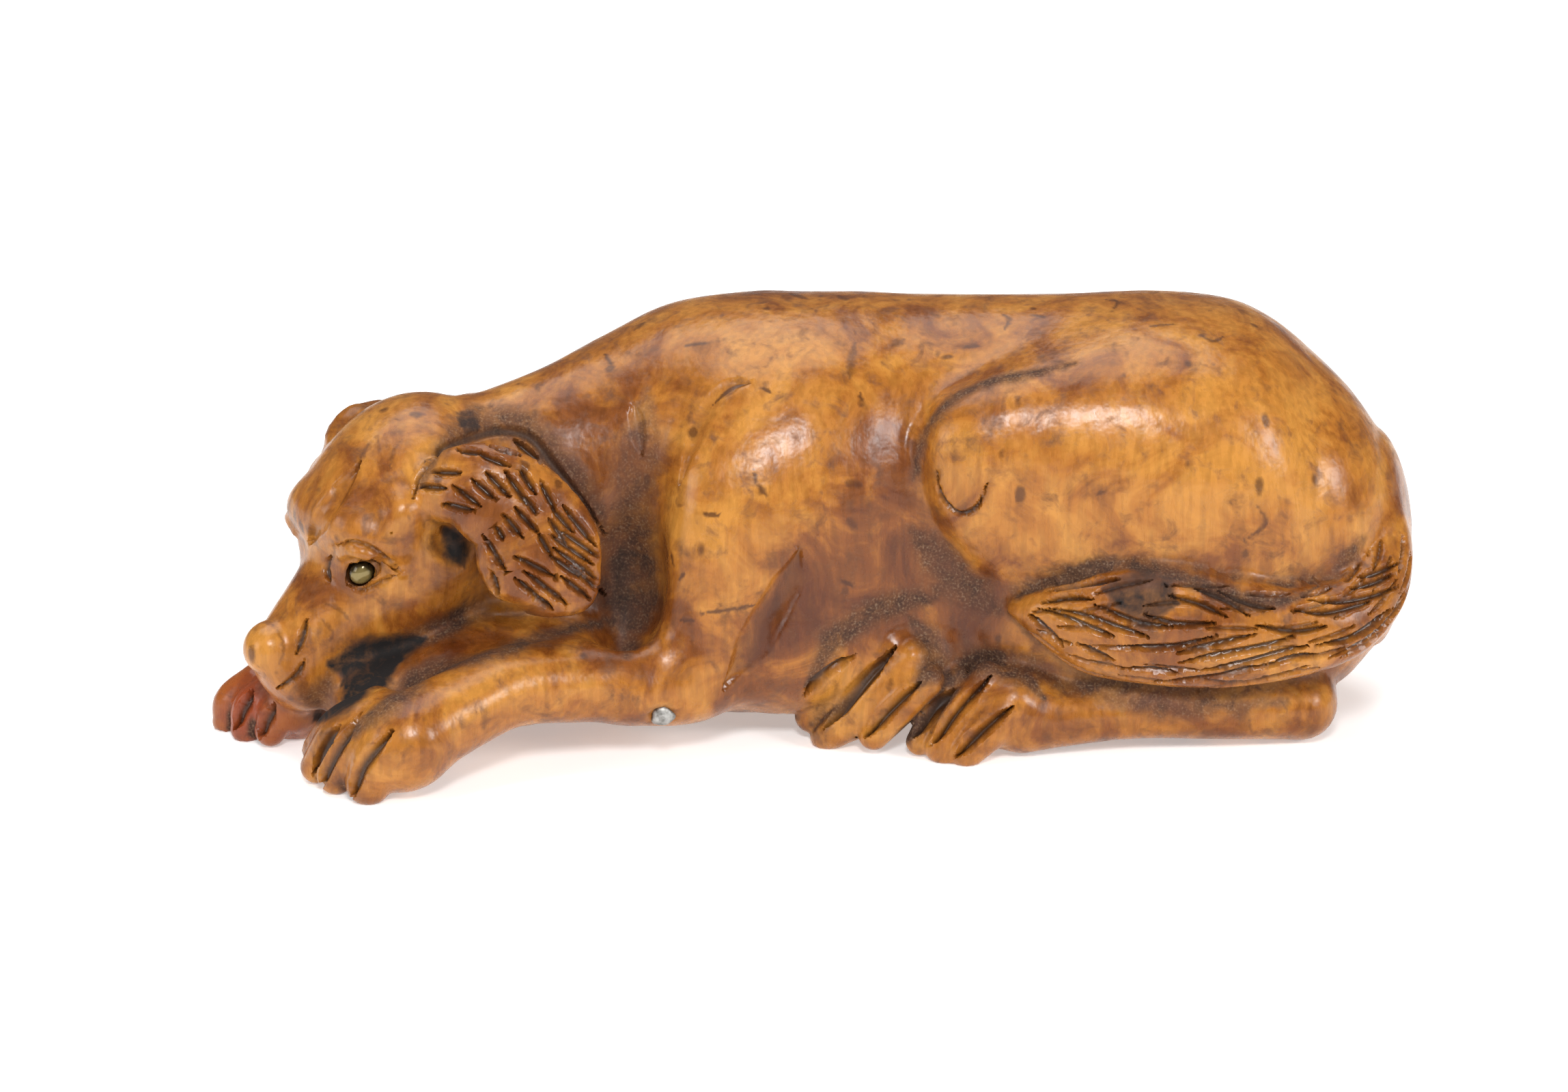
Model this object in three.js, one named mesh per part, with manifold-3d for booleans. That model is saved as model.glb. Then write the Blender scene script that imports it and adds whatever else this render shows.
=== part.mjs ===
// Snuff box carved from burr wood as a dog asleep with its chin on its foreleg.
// The body is hollow, and a wooden lid in the underside turns on a cross pin through the elbows.
// Millimetres, +Z up. The head lies towards -X, the near side faces -Y, the soles stand on Z = 0.
import * as THREE from 'three';
import { mergeVertices } from 'three/addons/utils/BufferGeometryUtils.js';
import Module from 'manifold-3d';

const wasm = await Module();
wasm.setup();

// Driving dimensions of the box
const basePlane = 2.7;
const fitGap = 0.35;
const pin = { x: -13.0, z: 4.8, radius: 0.8, near: -8.7, far: 20.6, gap: 0.25, sides: 18 };
const lid = { rear: 38, width: 18, thickness: 4.2, middleY: 9.8, cornerRadius: 5, cornerSteps: 5 };
const cavity = { front: -8, rear: 34, width: 14.4, ceiling: 29.5, cornerRadius: 5, round: 4 };
const nailNick = { radius: 4, depth: 1.1 };
const eye = { forward: 8.75, side: 4.15, up: 1.1, radii: [1.2, 1.0, 1.0], gap: 0.3 };
const head = { centre: [-35.2, 1.0, 22.1], yaw: 33, pitch: 40 };
// Moves the carving so that its box is centred on the Z axis
const shift = { x: 0.17, y: -2.66 };

// Stations of a form: [x, y, z, half width, half height] of the ellipse carried along it
const torsoForms = {
  trunk: {
    stations: [
      [-29.8, 3.9, 19.1, 7.4, 10.6], [-23.8, 5.8, 19.1, 8.2, 12.5], [-18.5, 8.0, 18.9, 10.4, 14.9],
      [-12.5, 9.4, 18.9, 12.8, 17.4], [-5.5, 8.9, 19.0, 15.2, 18.4], [-0.5, 8.7, 19.0, 15.8, 18.4],
      [4.5, 9.0, 19.0, 14.8, 18.4], [10.0, 9.6, 18.9, 12.9, 18.2], [21.1, 9.2, 18.9, 13.4, 18.3],
      [30.1, 9.2, 19.0, 15.0, 18.4],
      [36.4, 9.2, 18.8, 14.6, 18.0], [40.3, 9.2, 18.2, 13.6, 17.0], [44.0, 9.2, 17.1, 12.2, 15.1],
      [47.1, 9.0, 16.0, 10.2, 12.6], [49.8, 8.6, 15.3, 7.2, 8.9],
    ],
    axis: [1, 0, 0], power: 2.15, lowPower: 3.2, domes: [3, 2.6], rings: 16, sides: 19,
  },
  elbowWeb: {
    stations: [[-8, 1.5, 6.4, 7, 3.7], [-13, -3.5, 6.2, 6, 3.5], [-16, -6, 6.4, 4.5, 2.8]],
    rings: 3, sides: 8,
  },
  chest: {
    stations: [
      [-12.0, 5.0, 8.4, 9.0, 6.8], [-22.0, 1.0, 7.2, 8.6, 5.4],
      [-31.0, -3.6, 6.8, 7.6, 5.0], [-37.5, -6.5, 5.6, 5.5, 3.6],
    ],
    rings: 4, sides: 9,
  },
};
const limbForms = {
  nearThigh: {
    stations: [
      [9.6, -1.4, 26.2, 2.6, 3.0], [11.0, -1.8, 25.7, 3.8, 5.5], [13.8, -1.8, 24.9, 4.9, 7.8],
      [17.3, -1.0, 24.1, 6.0, 9.8], [21.6, -0.1, 23.6, 7.0, 11.1], [29.9, 1.6, 23.4, 8.8, 12.0],
      [39.0, 2.9, 21.4, 9.2, 12.2], [43.9, 4.2, 18.8, 8.2, 10.0],
    ],
    axis: [1, 0, 0], power: 2.3, domes: [1.2, 7.0], domeRings: 1, rings: 8, sides: 14,
  },
  farThigh: {
    stations: [
      [12.0, 20.0, 9.4, 4.2, 8.6], [22.0, 20.2, 10.6, 5.0, 11.4],
      [34.0, 18.4, 11.6, 6.4, 12.2], [41.0, 15.5, 12.5, 6.8, 10.0],
    ],
    axis: [1, 0, 0], domes: [4.6, 6.5], rings: 5, sides: 10,
  },
  nearUpperArm: {
    stations: [
      [-6.6, 1.4, 28.5, 3.8, 3.2], [-7.0, -1.5, 24.0, 5.1, 5.4], [-7.1, -2.6, 19.0, 5.3, 6.1],
      [-8.9, -3.3, 13.0, 5.0, 4.7], [-11.0, -4.2, 7.6, 4.4, 3.8],
    ],
    reference: [1, 0, 0], power: 2.6, rings: 6, sides: 10,
  },
  farUpperArm: {
    stations: [[-7, 18.8, 25, 4.2, 4.6], [-6.5, 19.8, 16, 4.4, 5.6], [-8.5, 20.6, 4, 4, 4.8]],
    reference: [1, 0, 0], rings: 4, sides: 9,
  },
  nearForearm: {
    stations: [
      [-11.0, -4.5, 7.7, 4.3, 4.2], [-14.6, -5.9, 7.4, 4.0, 4.0], [-20.1, -8.0, 7.7, 3.7, 3.6],
      [-26.0, -10.4, 8.0, 3.6, 3.5], [-30.6, -13.2, 6.7, 3.7, 3.6], [-34.2, -15.6, 5.4, 4.1, 3.9],
    ],
    rings: 7, sides: 9,
  },
  farForearm: {
    stations: [
      [-9.0, 19.0, 4.2, 4.2, 4.2], [-22.0, 12.5, 4.0, 3.8, 3.8],
      [-34.0, 5.5, 3.8, 3.6, 3.6], [-43.5, 0.5, 3.8, 3.6, 3.4],
    ],
    rings: 4, sides: 8,
  },
  nearShank: {
    stations: [
      [43.1, -2.2, 3.3, 2.6, 2.6], [36.6, -3.6, 3.4, 2.4, 2.4],
      [27.5, -4.4, 3.7, 2.5, 2.5], [18.6, -5.4, 3.4, 2.9, 3.0],
    ],
    rings: 4, sides: 8,
  },
  nearLowerLeg: {
    stations: [[42.8, -0.6, 3.5, 3, 3.2], [30.6, -1.2, 6.4, 4, 5], [18.6, -1.2, 11.5, 4, 5]],
    rings: 3, sides: 7,
  },
  farShank: { stations: [[8.7, -2.4, 7.8, 3, 3.2], [15.7, 1.4, 8.1, 3.4, 3.6]], rings: 2, sides: 7 },
};
const brisket = { centre: [-4.0, 1.0, 10.5], radii: [8.4, 8.6, 6.9], segments: [9, 6] };
// A paw has a palm, sometimes a web, and toes that each bend down from [x, y, z, radius] to a tip
const paws = {
  nearFront: {
    palm: [-35.5, -16.2, 4.5], palmRadii: [4.0, 3.7, 3.9],
    toes: [
      [[-33.9, -17.0, 5.2, 2.7], [-36.9, -17.4, 3.9, 2.5], [-38.1, -17.3, 1.7, 2.0]],
      [[-35.5, -15.5, 6.5, 2.2], [-39.0, -15.6, 4.6, 2.0], [-41.0, -15.1, 1.6, 1.7]],
      [[-36.6, -13.7, 6.9, 1.9], [-40.4, -13.7, 5.0, 1.8], [-42.8, -12.8, 1.5, 1.45]],
      [[-37.5, -12.2, 6.9, 1.7], [-40.9, -12.1, 5.2, 1.5], [-43.0, -11.3, 2.6, 1.2]],
    ],
  },
  farFront: {
    palm: [-45.7, 0.0, 2.9], palmRadii: [4.0, 3.8, 3.2],
    toes: [
      [[-45.4, -2.6, 3.3, 2.2], [-46.8, -3.2, 2.7, 1.9], [-47.5, -3.4, 1.5, 1.4]],
      [[-47.3, -0.8, 4.0, 2.0], [-49.2, -1.0, 2.8, 1.8], [-49.8, -1.2, 0.9, 1.4]],
      [[-48.8, 1.6, 4.0, 2.0], [-51.1, 1.5, 2.5, 1.7], [-51.7, 1.4, 0.7, 1.3]],
    ],
  },
  nearHind: {
    palm: [17.4, -4.7, 4.3], palmRadii: [4.3, 3.4, 3.6],
    web: [[16.0, -5.0, 4.0, 3.0, 2.6], [13.6, -5.6, 2.2, 2.8, 2.0], [11.8, -6.0, 0.8, 2.3, 1.3]],
    toes: [
      [[12.8, -4.2, 6.4, 1.3], [10.8, -5.2, 3.7, 1.3], [9.4, -5.8, 1.3, 1.2]],
      [[15.4, -5.2, 7.0, 1.5], [12.8, -6.3, 4.0, 1.5], [11.1, -7.0, 1.2, 1.3]],
      [[17.6, -6.3, 5.4, 2.0], [15.4, -7.2, 3.1, 1.9], [13.5, -7.6, 1.2, 1.6]],
    ],
  },
  farHind: {
    palm: [7.0, -2.4, 6.2], palmRadii: [4.6, 3.0, 3.4],
    web: [[8.0, -3.0, 5.9, 3.4, 2.6], [4.6, -2.5, 3.2, 3.3, 2.2], [1.8, -2.0, 1.0, 2.7, 1.5]],
    toes: [
      [[5.0, -1.6, 9.0, 1.3], [1.6, -1.0, 6.6, 1.3], [-0.4, -0.6, 4.6, 1.1]],
      [[7.2, -3.2, 9.4, 1.7], [2.9, -2.3, 5.6, 1.7], [-0.1, -1.4, 2.1, 1.4]],
      [[8.8, -4.4, 8.6, 1.6], [5.0, -4.1, 4.9, 1.6], [1.9, -3.8, 1.5, 1.35]],
      [[10.0, -5.5, 6.8, 1.6], [7.4, -5.6, 4.2, 1.6], [5.4, -5.4, 1.8, 1.35]],
    ],
  },
};
const tailForm = {
  stations: [
    [49.2, 2.2, 20.7, 2.2, 2.2], [49.9, 0.2, 17.3, 2.4, 2.8], [48.8, -3.0, 14.5, 2.6, 3.2],
    [45.9, -5.6, 12.6, 2.7, 3.6], [41.5, -7.0, 11.9, 2.8, 4.1], [36.1, -7.6, 12.1, 2.9, 5.0],
    [30.2, -7.7, 12.7, 2.9, 5.5], [24.3, -7.2, 12.6, 2.6, 4.7], [20.3, -6.4, 13.3, 2.1, 2.7],
    [17.8, -5.6, 13.7, 1.2, 0.9],
  ],
  reference: [-1, 0, 1], domes: [1.5, 0.8], domeRings: 1, rings: 11, sides: 10,
};
// Head forms are stated in the head's own axes: forward, towards its left side, up
const headForms = {
  skull: { centre: [0, 0, 0], radii: [9.3, 8.2, 8.0], segments: [12, 7] },
  nose: { centre: [18.4, 0, 0.0], radii: [2.5, 2.4, 2.4], segments: [10, 7] },
  cheek: { centre: [4.6, 3.4, -3.6], radii: [7.8, 4.7, 5.5], segments: [10, 6] },
  orbit: { centre: [6.8, 3.4, 0.6], radii: [3.4, 2.3, 3.0], segments: [9, 6] },
  browEnd: { centre: [2.9, 6.3, 3.2], radii: [2.2, 1.9, 1.9], segments: [6, 4] },
  forehead: { centre: [3.8, 0, 2.4], radii: [5.6, 6.0, 4.9], segments: [10, 6] },
  muzzle: {
    stations: [
      [4, 0, -3, 6.8, 6.6], [9, 0, -3.2, 5.8, 6.0], [13, 0, -3.2, 4.7, 5.4],
      [17, 0, -3.2, 4.0, 4.8], [19, 0, -3.1, 3.4, 4.0],
    ],
    domes: [4, 2.2], rings: 5, sides: 10,
  },
  brow: {
    stations: [
      [6.9, 1.8, 5.0, 1.5, 1.4], [6.7, 3.7, 4.7, 1.7, 1.5], [6.1, 5.3, 3.3, 1.7, 1.5], [5.3, 6.4, 1.5, 1.4, 1.2],
    ],
    rings: 4, sides: 6,
  },
  farEar: {
    stations: [
      [-1.0, -6.4, 5.2, 1.4, 2.6], [-1.2, -7.6, 3.0, 1.5, 4.2], [-1.8, -8.4, -1.0, 1.5, 5.4],
      [-2.2, -8.8, -5.5, 1.5, 5.8], [-1.8, -8.9, -9.5, 1.4, 5.0], [-1.2, -8.8, -12.0, 1.2, 3.4],
    ],
    domes: [1.2, 1.4], rings: 5, sides: 9,
  },
};
// The near ear is laid over the neck, so it is stated in the box's own axes and faces outwards
const nearEarForm = {
  stations: [
    [-33.4, -6.0, 24.3, 2.4, 1.5], [-29.6, -7.4, 25.0, 4.0, 1.7], [-25.8, -8.0, 23.4, 4.7, 1.7],
    [-23.7, -8.8, 20.2, 5.5, 1.7], [-22.8, -9.2, 17.4, 5.1, 1.6], [-22.6, -9.2, 15.7, 4.3, 1.4],
    [-22.7, -9.1, 14.5, 2.6, 1.0],
  ],
  reference: [0.1, -0.95, 0.3], domes: [1.3, 0.5], domeRings: 1, rings: 8, sides: 10,
};
// Hollows carved behind the jaw, beside the neck and under the fold of the ear
const hollows = [
  { centre: [-16.6, -4.6, 15.4], radii: [3.1, 4.0, 7.0] },
  { centre: [-15.6, -5.4, 23.5], radii: [2.4, 2.4, 6.0] },
  { centre: [-31.2, -7.6, 20.0], radii: [1.7, 2.2, 1.9] },
];
// Gouge cuts: rows of short strokes along the ears, long locks along the tail, the lips
const nearEarLocks = {
  rows: 3, perRow: 3, first: 0.1, last: 0.94, spread: 0.85, halfWidth: 0.45, depth: 0.6,
};
const farEarLocks = { ...nearEarLocks, rows: 1, perRow: 3 };
const tailLocks = {
  rows: 3, perRow: 3, first: 0.2, last: 0.97, spread: 62, halfWidth: 0.5, depth: 0.6,
};
const lip = { from: 0.3, to: 0.98, below: 30, halfWidth: 0.45, depth: 0.9 };

const vector = (values) => new THREE.Vector3(...values.slice(0, 3));
const radians = THREE.MathUtils.degToRad;

// A sweep carries an ellipse along a smooth curve through its stations and rounds off both ends
class Sweep {
  constructor({
    stations, reference = [0, 0, 1], axis, power = 2, lowPower = power, domes, domeRings = 2, rings, sides,
  }) {
    Object.assign(this, { power, lowPower, domeRings, rings, sides });
    this.path = new THREE.CatmullRomCurve3(stations.map(vector), false, 'catmullrom');
    const sizes = stations.map((row) => new THREE.Vector3(row[3], row[4], 0));
    this.sizes = new THREE.CatmullRomCurve3(sizes, false, 'catmullrom');
    this.reference = vector(reference);
    this.axis = axis && vector(axis);
    const ends = [stations[0], stations[stations.length - 1]];
    this.domes = domes ?? ends.map((row) => (row[3] + row[4]) / 2);
  }

  frameAt(t) {
    const along = this.axis ?? this.path.getTangent(t);
    const side = along.clone().cross(this.reference).normalize();
    const up = side.clone().cross(along).normalize();
    const { x: halfSide, y: halfUp } = this.sizes.getPoint(t);
    return { centre: this.path.getPoint(t), along, side, up, halfSide, halfUp };
  }

  // Point of the section at t, at an angle from its side towards its up
  pointAt(t, angle, scale = 1, offset = 0) {
    const { centre, along, side, up, halfSide, halfUp } = this.frameAt(t);
    const power = Math.sin(angle) < 0 ? this.lowPower : this.power;
    const bend = (value) => Math.sign(value) * Math.abs(value) ** (2 / power);
    return centre
      .addScaledVector(side, scale * halfSide * bend(Math.cos(angle)))
      .addScaledVector(up, scale * halfUp * bend(Math.sin(angle)))
      .addScaledVector(along, offset);
  }

  geometry() {
    const rings = [];
    const domeAngles = Array.from({ length: this.domeRings }, (_, k) =>
      ((k + 1) / (this.domeRings + 1)) * (Math.PI / 2));
    for (const phi of [...domeAngles].reverse()) {
      rings.push([0, Math.cos(phi), -this.domes[0] * Math.sin(phi)]);
    }
    for (let i = 0; i < this.rings; i += 1) rings.push([i / (this.rings - 1), 1, 0]);
    for (const phi of domeAngles) rings.push([1, Math.cos(phi), this.domes[1] * Math.sin(phi)]);

    const points = rings.flatMap(([t, scale, offset]) =>
      Array.from({ length: this.sides }, (_, j) =>
        this.pointAt(t, (2 * Math.PI * j) / this.sides, scale, offset)));
    const firstPole = points.push(this.pointAt(0, 0, 0, -this.domes[0])) - 1;
    const lastPole = points.push(this.pointAt(1, 0, 0, this.domes[1])) - 1;
    const index = [];
    const lastRing = (rings.length - 1) * this.sides;
    for (let j = 0; j < this.sides; j += 1) {
      const next = (j + 1) % this.sides;
      for (let i = 0; i < rings.length - 1; i += 1) {
        const low = i * this.sides;
        const high = low + this.sides;
        index.push(low + j, high + j, high + next, low + j, high + next, low + next);
      }
      index.push(firstPole, j, next, lastPole, lastRing + next, lastRing + j);
    }
    const geometry = new THREE.BufferGeometry().setFromPoints(points);
    return geometry.setIndex(index);
  }
}

function solidOf(geometry) {
  const bare = geometry.clone();
  bare.deleteAttribute('normal');
  bare.deleteAttribute('uv');
  const merged = mergeVertices(bare, 1e-4);
  const mesh = new wasm.Mesh({
    numProp: 3,
    vertProperties: new Float32Array(merged.attributes.position.array),
    triVerts: new Uint32Array(merged.index.array),
  });
  return new wasm.Manifold(mesh);
}

function geometryOf(solid) {
  const { vertProperties, triVerts } = solid.getMesh();
  const geometry = new THREE.BufferGeometry();
  geometry.setAttribute('position', new THREE.BufferAttribute(vertProperties, 3));
  geometry.setIndex(new THREE.BufferAttribute(triVerts, 1));
  const flat = geometry.toNonIndexed();
  flat.computeVertexNormals();
  return flat;
}

const sweepSolid = (form) => solidOf(new Sweep(form).geometry());
const joined = (solids) => solids.reduce((sum, solid) => sum.add(solid));

function ballSolid({ centre, radii, segments = [9, 6] }, axes) {
  const geometry = new THREE.SphereGeometry(1, ...segments).scale(...radii);
  if (axes) geometry.applyMatrix4(axes);
  return solidOf(geometry.translate(...centre));
}

function boxSolid([x0, y0, z0], [x1, y1, z1]) {
  const geometry = new THREE.BoxGeometry(x1 - x0, y1 - y0, z1 - z0);
  return solidOf(geometry.translate((x0 + x1) / 2, (y0 + y1) / 2, (z0 + z1) / 2));
}

// Rod along Y at a place in X and Z
function rodSolid(x, z, radius, y0, y1) {
  const rod = new THREE.CylinderGeometry(radius, radius, y1 - y0, pin.sides);
  return solidOf(rod.translate(x, (y0 + y1) / 2, z));
}

// The head's axes in the box: it is turned towards the near side and nods down
const yaw = radians(head.yaw);
const pitch = radians(head.pitch);
const level = Math.cos(pitch);
const forward = new THREE.Vector3(-Math.cos(yaw) * level, -Math.sin(yaw) * level, -Math.sin(pitch));
const left = new THREE.Vector3(Math.sin(yaw), -Math.cos(yaw), 0);
const crown = forward.clone().cross(left);
const headAxes = new THREE.Matrix4().makeBasis(forward, left, crown);

function headPoint([f, l, u]) {
  const offset = new THREE.Vector3(f, l, u).applyMatrix4(headAxes);
  return vector(head.centre).add(offset).toArray();
}

// Turns a form stated in the head's axes into one in the box's axes; sideSign -1 gives its far twin
function onHead(form, sideSign = 1) {
  const placed = ([f, l, u, ...sizes]) => [...headPoint([f, sideSign * l, u]), ...sizes];
  if (form.stations) return { ...form, stations: form.stations.map(placed) };
  return { ...form, centre: placed(form.centre) };
}

// A gouge stroke follows a sweep's skin from one [t, angle] to another, deepest in its middle
function gouge(sweep, from, to, halfWidth, depth) {
  const steps = [0.0, 0.5, 1.0];
  const stations = steps.map((step) => {
    const t = THREE.MathUtils.lerp(from[0], to[0], step);
    const angle = THREE.MathUtils.lerp(from[1], to[1], step);
    const taper = 0.25 + 0.75 * Math.sin(Math.PI * step);
    return [...sweep.pointAt(t, angle).toArray(), halfWidth * taper, depth * taper];
  });
  const middle = (from[0] + to[0]) / 2;
  const outward = sweep.pointAt(middle, (from[1] + to[1]) / 2).sub(sweep.frameAt(middle).centre);
  const reference = outward.toArray();
  return sweepSolid({ stations, reference, domes: [0.3, 0.3], domeRings: 0, rings: 3, sides: 4 });
}

// Staggered rows of strokes over the face of a sweep that looks along the given angle
function lockStrokes(sweep, facing, locks, spreadAngle) {
  const strokes = [];
  const rowLength = (locks.last - locks.first) / locks.rows;
  for (let row = 0; row < locks.rows; row += 1) {
    for (let k = 0; k < locks.perRow; k += 1) {
      const across = ((k + (row % 2 ? 0.75 : 0.25)) / locks.perRow) * 2 - 1;
      const start = locks.first + rowLength * (row + 0.08 * (k % 3));
      const end = start + rowLength * 0.95;
      const angleAt = (fan) => facing + spreadAngle(Math.max(-1, Math.min(1, across * fan)));
      const from = [start, angleAt(0.85)];
      const to = [Math.min(end, locks.last), angleAt(1)];
      strokes.push(gouge(sweep, from, to, locks.halfWidth, locks.depth));
    }
  }
  return strokes;
}

const below = (z) => boxSolid([-80, -60, -40], [80, 60, z]);

function buildTorso() {
  const trunk = Object.values(torsoForms).map(sweepSolid);
  return joined([...trunk, ballSolid(brisket)]).subtract(below(basePlane));
}

function buildPaw({ palm, palmRadii, web, toes }) {
  const toeSolids = toes.map((toe) => {
    const stations = toe.map(([x, y, z, radius]) => [x, y, z, radius, radius]);
    return sweepSolid({ stations, domeRings: 1, rings: 3, sides: 6 });
  });
  if (web) toeSolids.push(sweepSolid({ stations: web, domeRings: 1, rings: 3, sides: 6 }));
  return joined([ballSolid({ centre: palm, radii: palmRadii }), ...toeSolids]);
}

function buildTail() {
  const tail = new Sweep(tailForm);
  const outerFace = Math.PI;
  const strokes = lockStrokes(tail, outerFace, tailLocks, (across) => -radians(tailLocks.spread) * across);
  return solidOf(tail.geometry()).subtract(joined(strokes));
}

function buildEar(form, facing, locks) {
  const ear = new Sweep(form);
  const strokes = lockStrokes(ear, facing, locks, (across) => Math.asin(locks.spread * across));
  return solidOf(ear.geometry()).subtract(joined(strokes));
}

function buildHead() {
  const reference = crown.toArray();
  const muzzleForm = { ...onHead(headForms.muzzle), reference };
  const forms = [
    ballSolid(onHead(headForms.skull), headAxes),
    sweepSolid(muzzleForm),
    ballSolid(onHead(headForms.nose), headAxes),
    ballSolid(onHead(headForms.forehead), headAxes),
  ];
  for (const sideSign of [1, -1]) {
    forms.push(sweepSolid({ ...onHead(headForms.brow, sideSign), reference }));
    forms.push(ballSolid(onHead(headForms.cheek, sideSign), headAxes));
    forms.push(ballSolid(onHead(headForms.orbit, sideSign), headAxes));
    forms.push(ballSolid(onHead(headForms.browEnd, sideSign), headAxes));
  }
  const muzzle = new Sweep(muzzleForm);
  const lips = [Math.PI + radians(lip.below), -radians(lip.below)].map((angle) =>
    gouge(muzzle, [lip.from, angle], [lip.to, angle], lip.halfWidth, lip.depth));
  return joined(forms).subtract(joined(lips));
}

// Outline of a plate or a hollow, with its rear corners rounded and its front corners too where asked
function roundedPlan({ front, rear, width, frontRadius = 0, rearRadius }) {
  const half = width / 2;
  const quarter = Math.PI / 2;
  const frontEnd = front + frontRadius;
  const rearEnd = rear - rearRadius;
  const plan = new THREE.Shape();
  plan.moveTo(front, half - frontRadius);
  plan.lineTo(front, -half + frontRadius);
  if (frontRadius) plan.absarc(frontEnd, -half + frontRadius, frontRadius, 2 * quarter, 3 * quarter);
  plan.lineTo(rearEnd, -half);
  plan.absarc(rearEnd, -half + rearRadius, rearRadius, -quarter, 0);
  plan.lineTo(rear, half - rearRadius);
  plan.absarc(rearEnd, half - rearRadius, rearRadius, 0, quarter);
  plan.lineTo(frontEnd, half);
  if (frontRadius) plan.absarc(frontEnd, half - frontRadius, frontRadius, quarter, 2 * quarter);
  return plan;
}

const lidRadius = lid.thickness / 2;

function buildLid() {
  const plan = roundedPlan({ ...lid, front: pin.x, rearRadius: lid.cornerRadius });
  const settings = { depth: lid.thickness, bevelEnabled: false, curveSegments: lid.cornerSteps };
  const slab = new THREE.ExtrudeGeometry(plan, settings).translate(0, lid.middleY, pin.z - lidRadius);
  const nearEdge = lid.middleY - lid.width / 2;
  const knuckle = rodSolid(pin.x, pin.z, lidRadius, nearEdge, nearEdge + lid.width);
  const bore = rodSolid(pin.x, pin.z, pin.radius + pin.gap, nearEdge - 1, nearEdge + lid.width + 1);
  const nickHeight = pin.z - lidRadius - nailNick.radius + nailNick.depth;
  const nick = ballSolid({
    centre: [lid.rear, lid.middleY, nickHeight],
    radii: [nailNick.depth * 2, nailNick.radius, nailNick.radius],
  });
  return solidOf(slab).add(knuckle).subtract(bore).subtract(nick);
}

// Room for the lid, open below, and the snuff hollow above it
function buildHollow() {
  const roof = pin.z + lidRadius + fitGap;
  const seatPlan = roundedPlan({
    front: pin.x - lidRadius - fitGap,
    rear: lid.rear + fitGap,
    width: lid.width + 2 * fitGap,
    rearRadius: lid.cornerRadius + fitGap,
  });
  const seatSettings = { depth: roof + 5, bevelEnabled: false, curveSegments: lid.cornerSteps };
  const seat = new THREE.ExtrudeGeometry(seatPlan, seatSettings).translate(0, lid.middleY, -5);
  const snuffPlan = roundedPlan({
    ...cavity, frontRadius: cavity.cornerRadius, rearRadius: cavity.cornerRadius,
  });
  const floor = basePlane + cavity.round;
  const snuffSettings = {
    depth: cavity.ceiling - cavity.round - floor,
    bevelThickness: cavity.round,
    bevelSize: cavity.round,
    bevelOffset: -cavity.round,
    bevelSegments: 2,
    curveSegments: 3,
  };
  const snuff = new THREE.ExtrudeGeometry(snuffPlan, snuffSettings).translate(0, lid.middleY, floor);
  return solidOf(seat).add(solidOf(snuff));
}

function eyePoint(sideSign) {
  return headPoint([eye.forward, sideSign * eye.side, eye.up]);
}

function buildEye(sideSign, gap = 0) {
  const radii = eye.radii.map((radius) => radius + gap);
  return ballSolid({ centre: eyePoint(sideSign), radii, segments: [10, 5] }, headAxes);
}

function buildDog() {
  const carved = joined([
    buildTorso(),
    ...Object.values(limbForms).map(sweepSolid),
    ...Object.values(paws).map(buildPaw),
    buildTail(),
    buildHead(),
    buildEar({ ...onHead(headForms.farEar), reference: forward.toArray() }, 0, farEarLocks),
    buildEar(nearEarForm, Math.PI / 2, nearEarLocks),
  ]);
  const cuts = joined([
    below(0),
    buildHollow(),
    rodSolid(pin.x, pin.z, pin.radius + pin.gap, -40, 40),
    buildEye(1, eye.gap),
    buildEye(-1, eye.gap),
    ...hollows.map((hollow) => ballSolid(hollow)),
  ]);
  return carved.subtract(cuts);
}

const burrWood = { color: 0xa8692b, roughness: 0.38, metalness: 0 };
const finishes = {
  dog_body: burrWood,
  lid: { ...burrWood, color: 0x9a5f28 },
  hinge_pin: { color: 0x8f8f8c, roughness: 0.5, metalness: 1 },
  eye_left: { color: 0x8a7d45, roughness: 0.2, metalness: 0 },
  eye_right: { color: 0x8a7d45, roughness: 0.2, metalness: 0 },
};
const solids = {
  dog_body: buildDog(),
  lid: buildLid(),
  hinge_pin: rodSolid(pin.x, pin.z, pin.radius, pin.near, pin.far),
  eye_left: buildEye(1),
  eye_right: buildEye(-1),
};

const snuffBox = new THREE.Group();
for (const [name, solid] of Object.entries(solids)) {
  const mesh = new THREE.Mesh(geometryOf(solid), new THREE.MeshStandardMaterial(finishes[name]));
  mesh.name = name;
  snuffBox.add(mesh);
}
snuffBox.position.set(shift.x, shift.y, 0);
snuffBox.updateMatrixWorld(true);

export default snuffBox;
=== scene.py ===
# Snuff box carved from burr wood as a lying dog with its chin on its foreleg.
# Shapes are worked out in millimetres in the carving's own axes, then moved to the frame.
import math
import bmesh
import bpy
import numpy as np
from mathutils import Matrix


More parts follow.
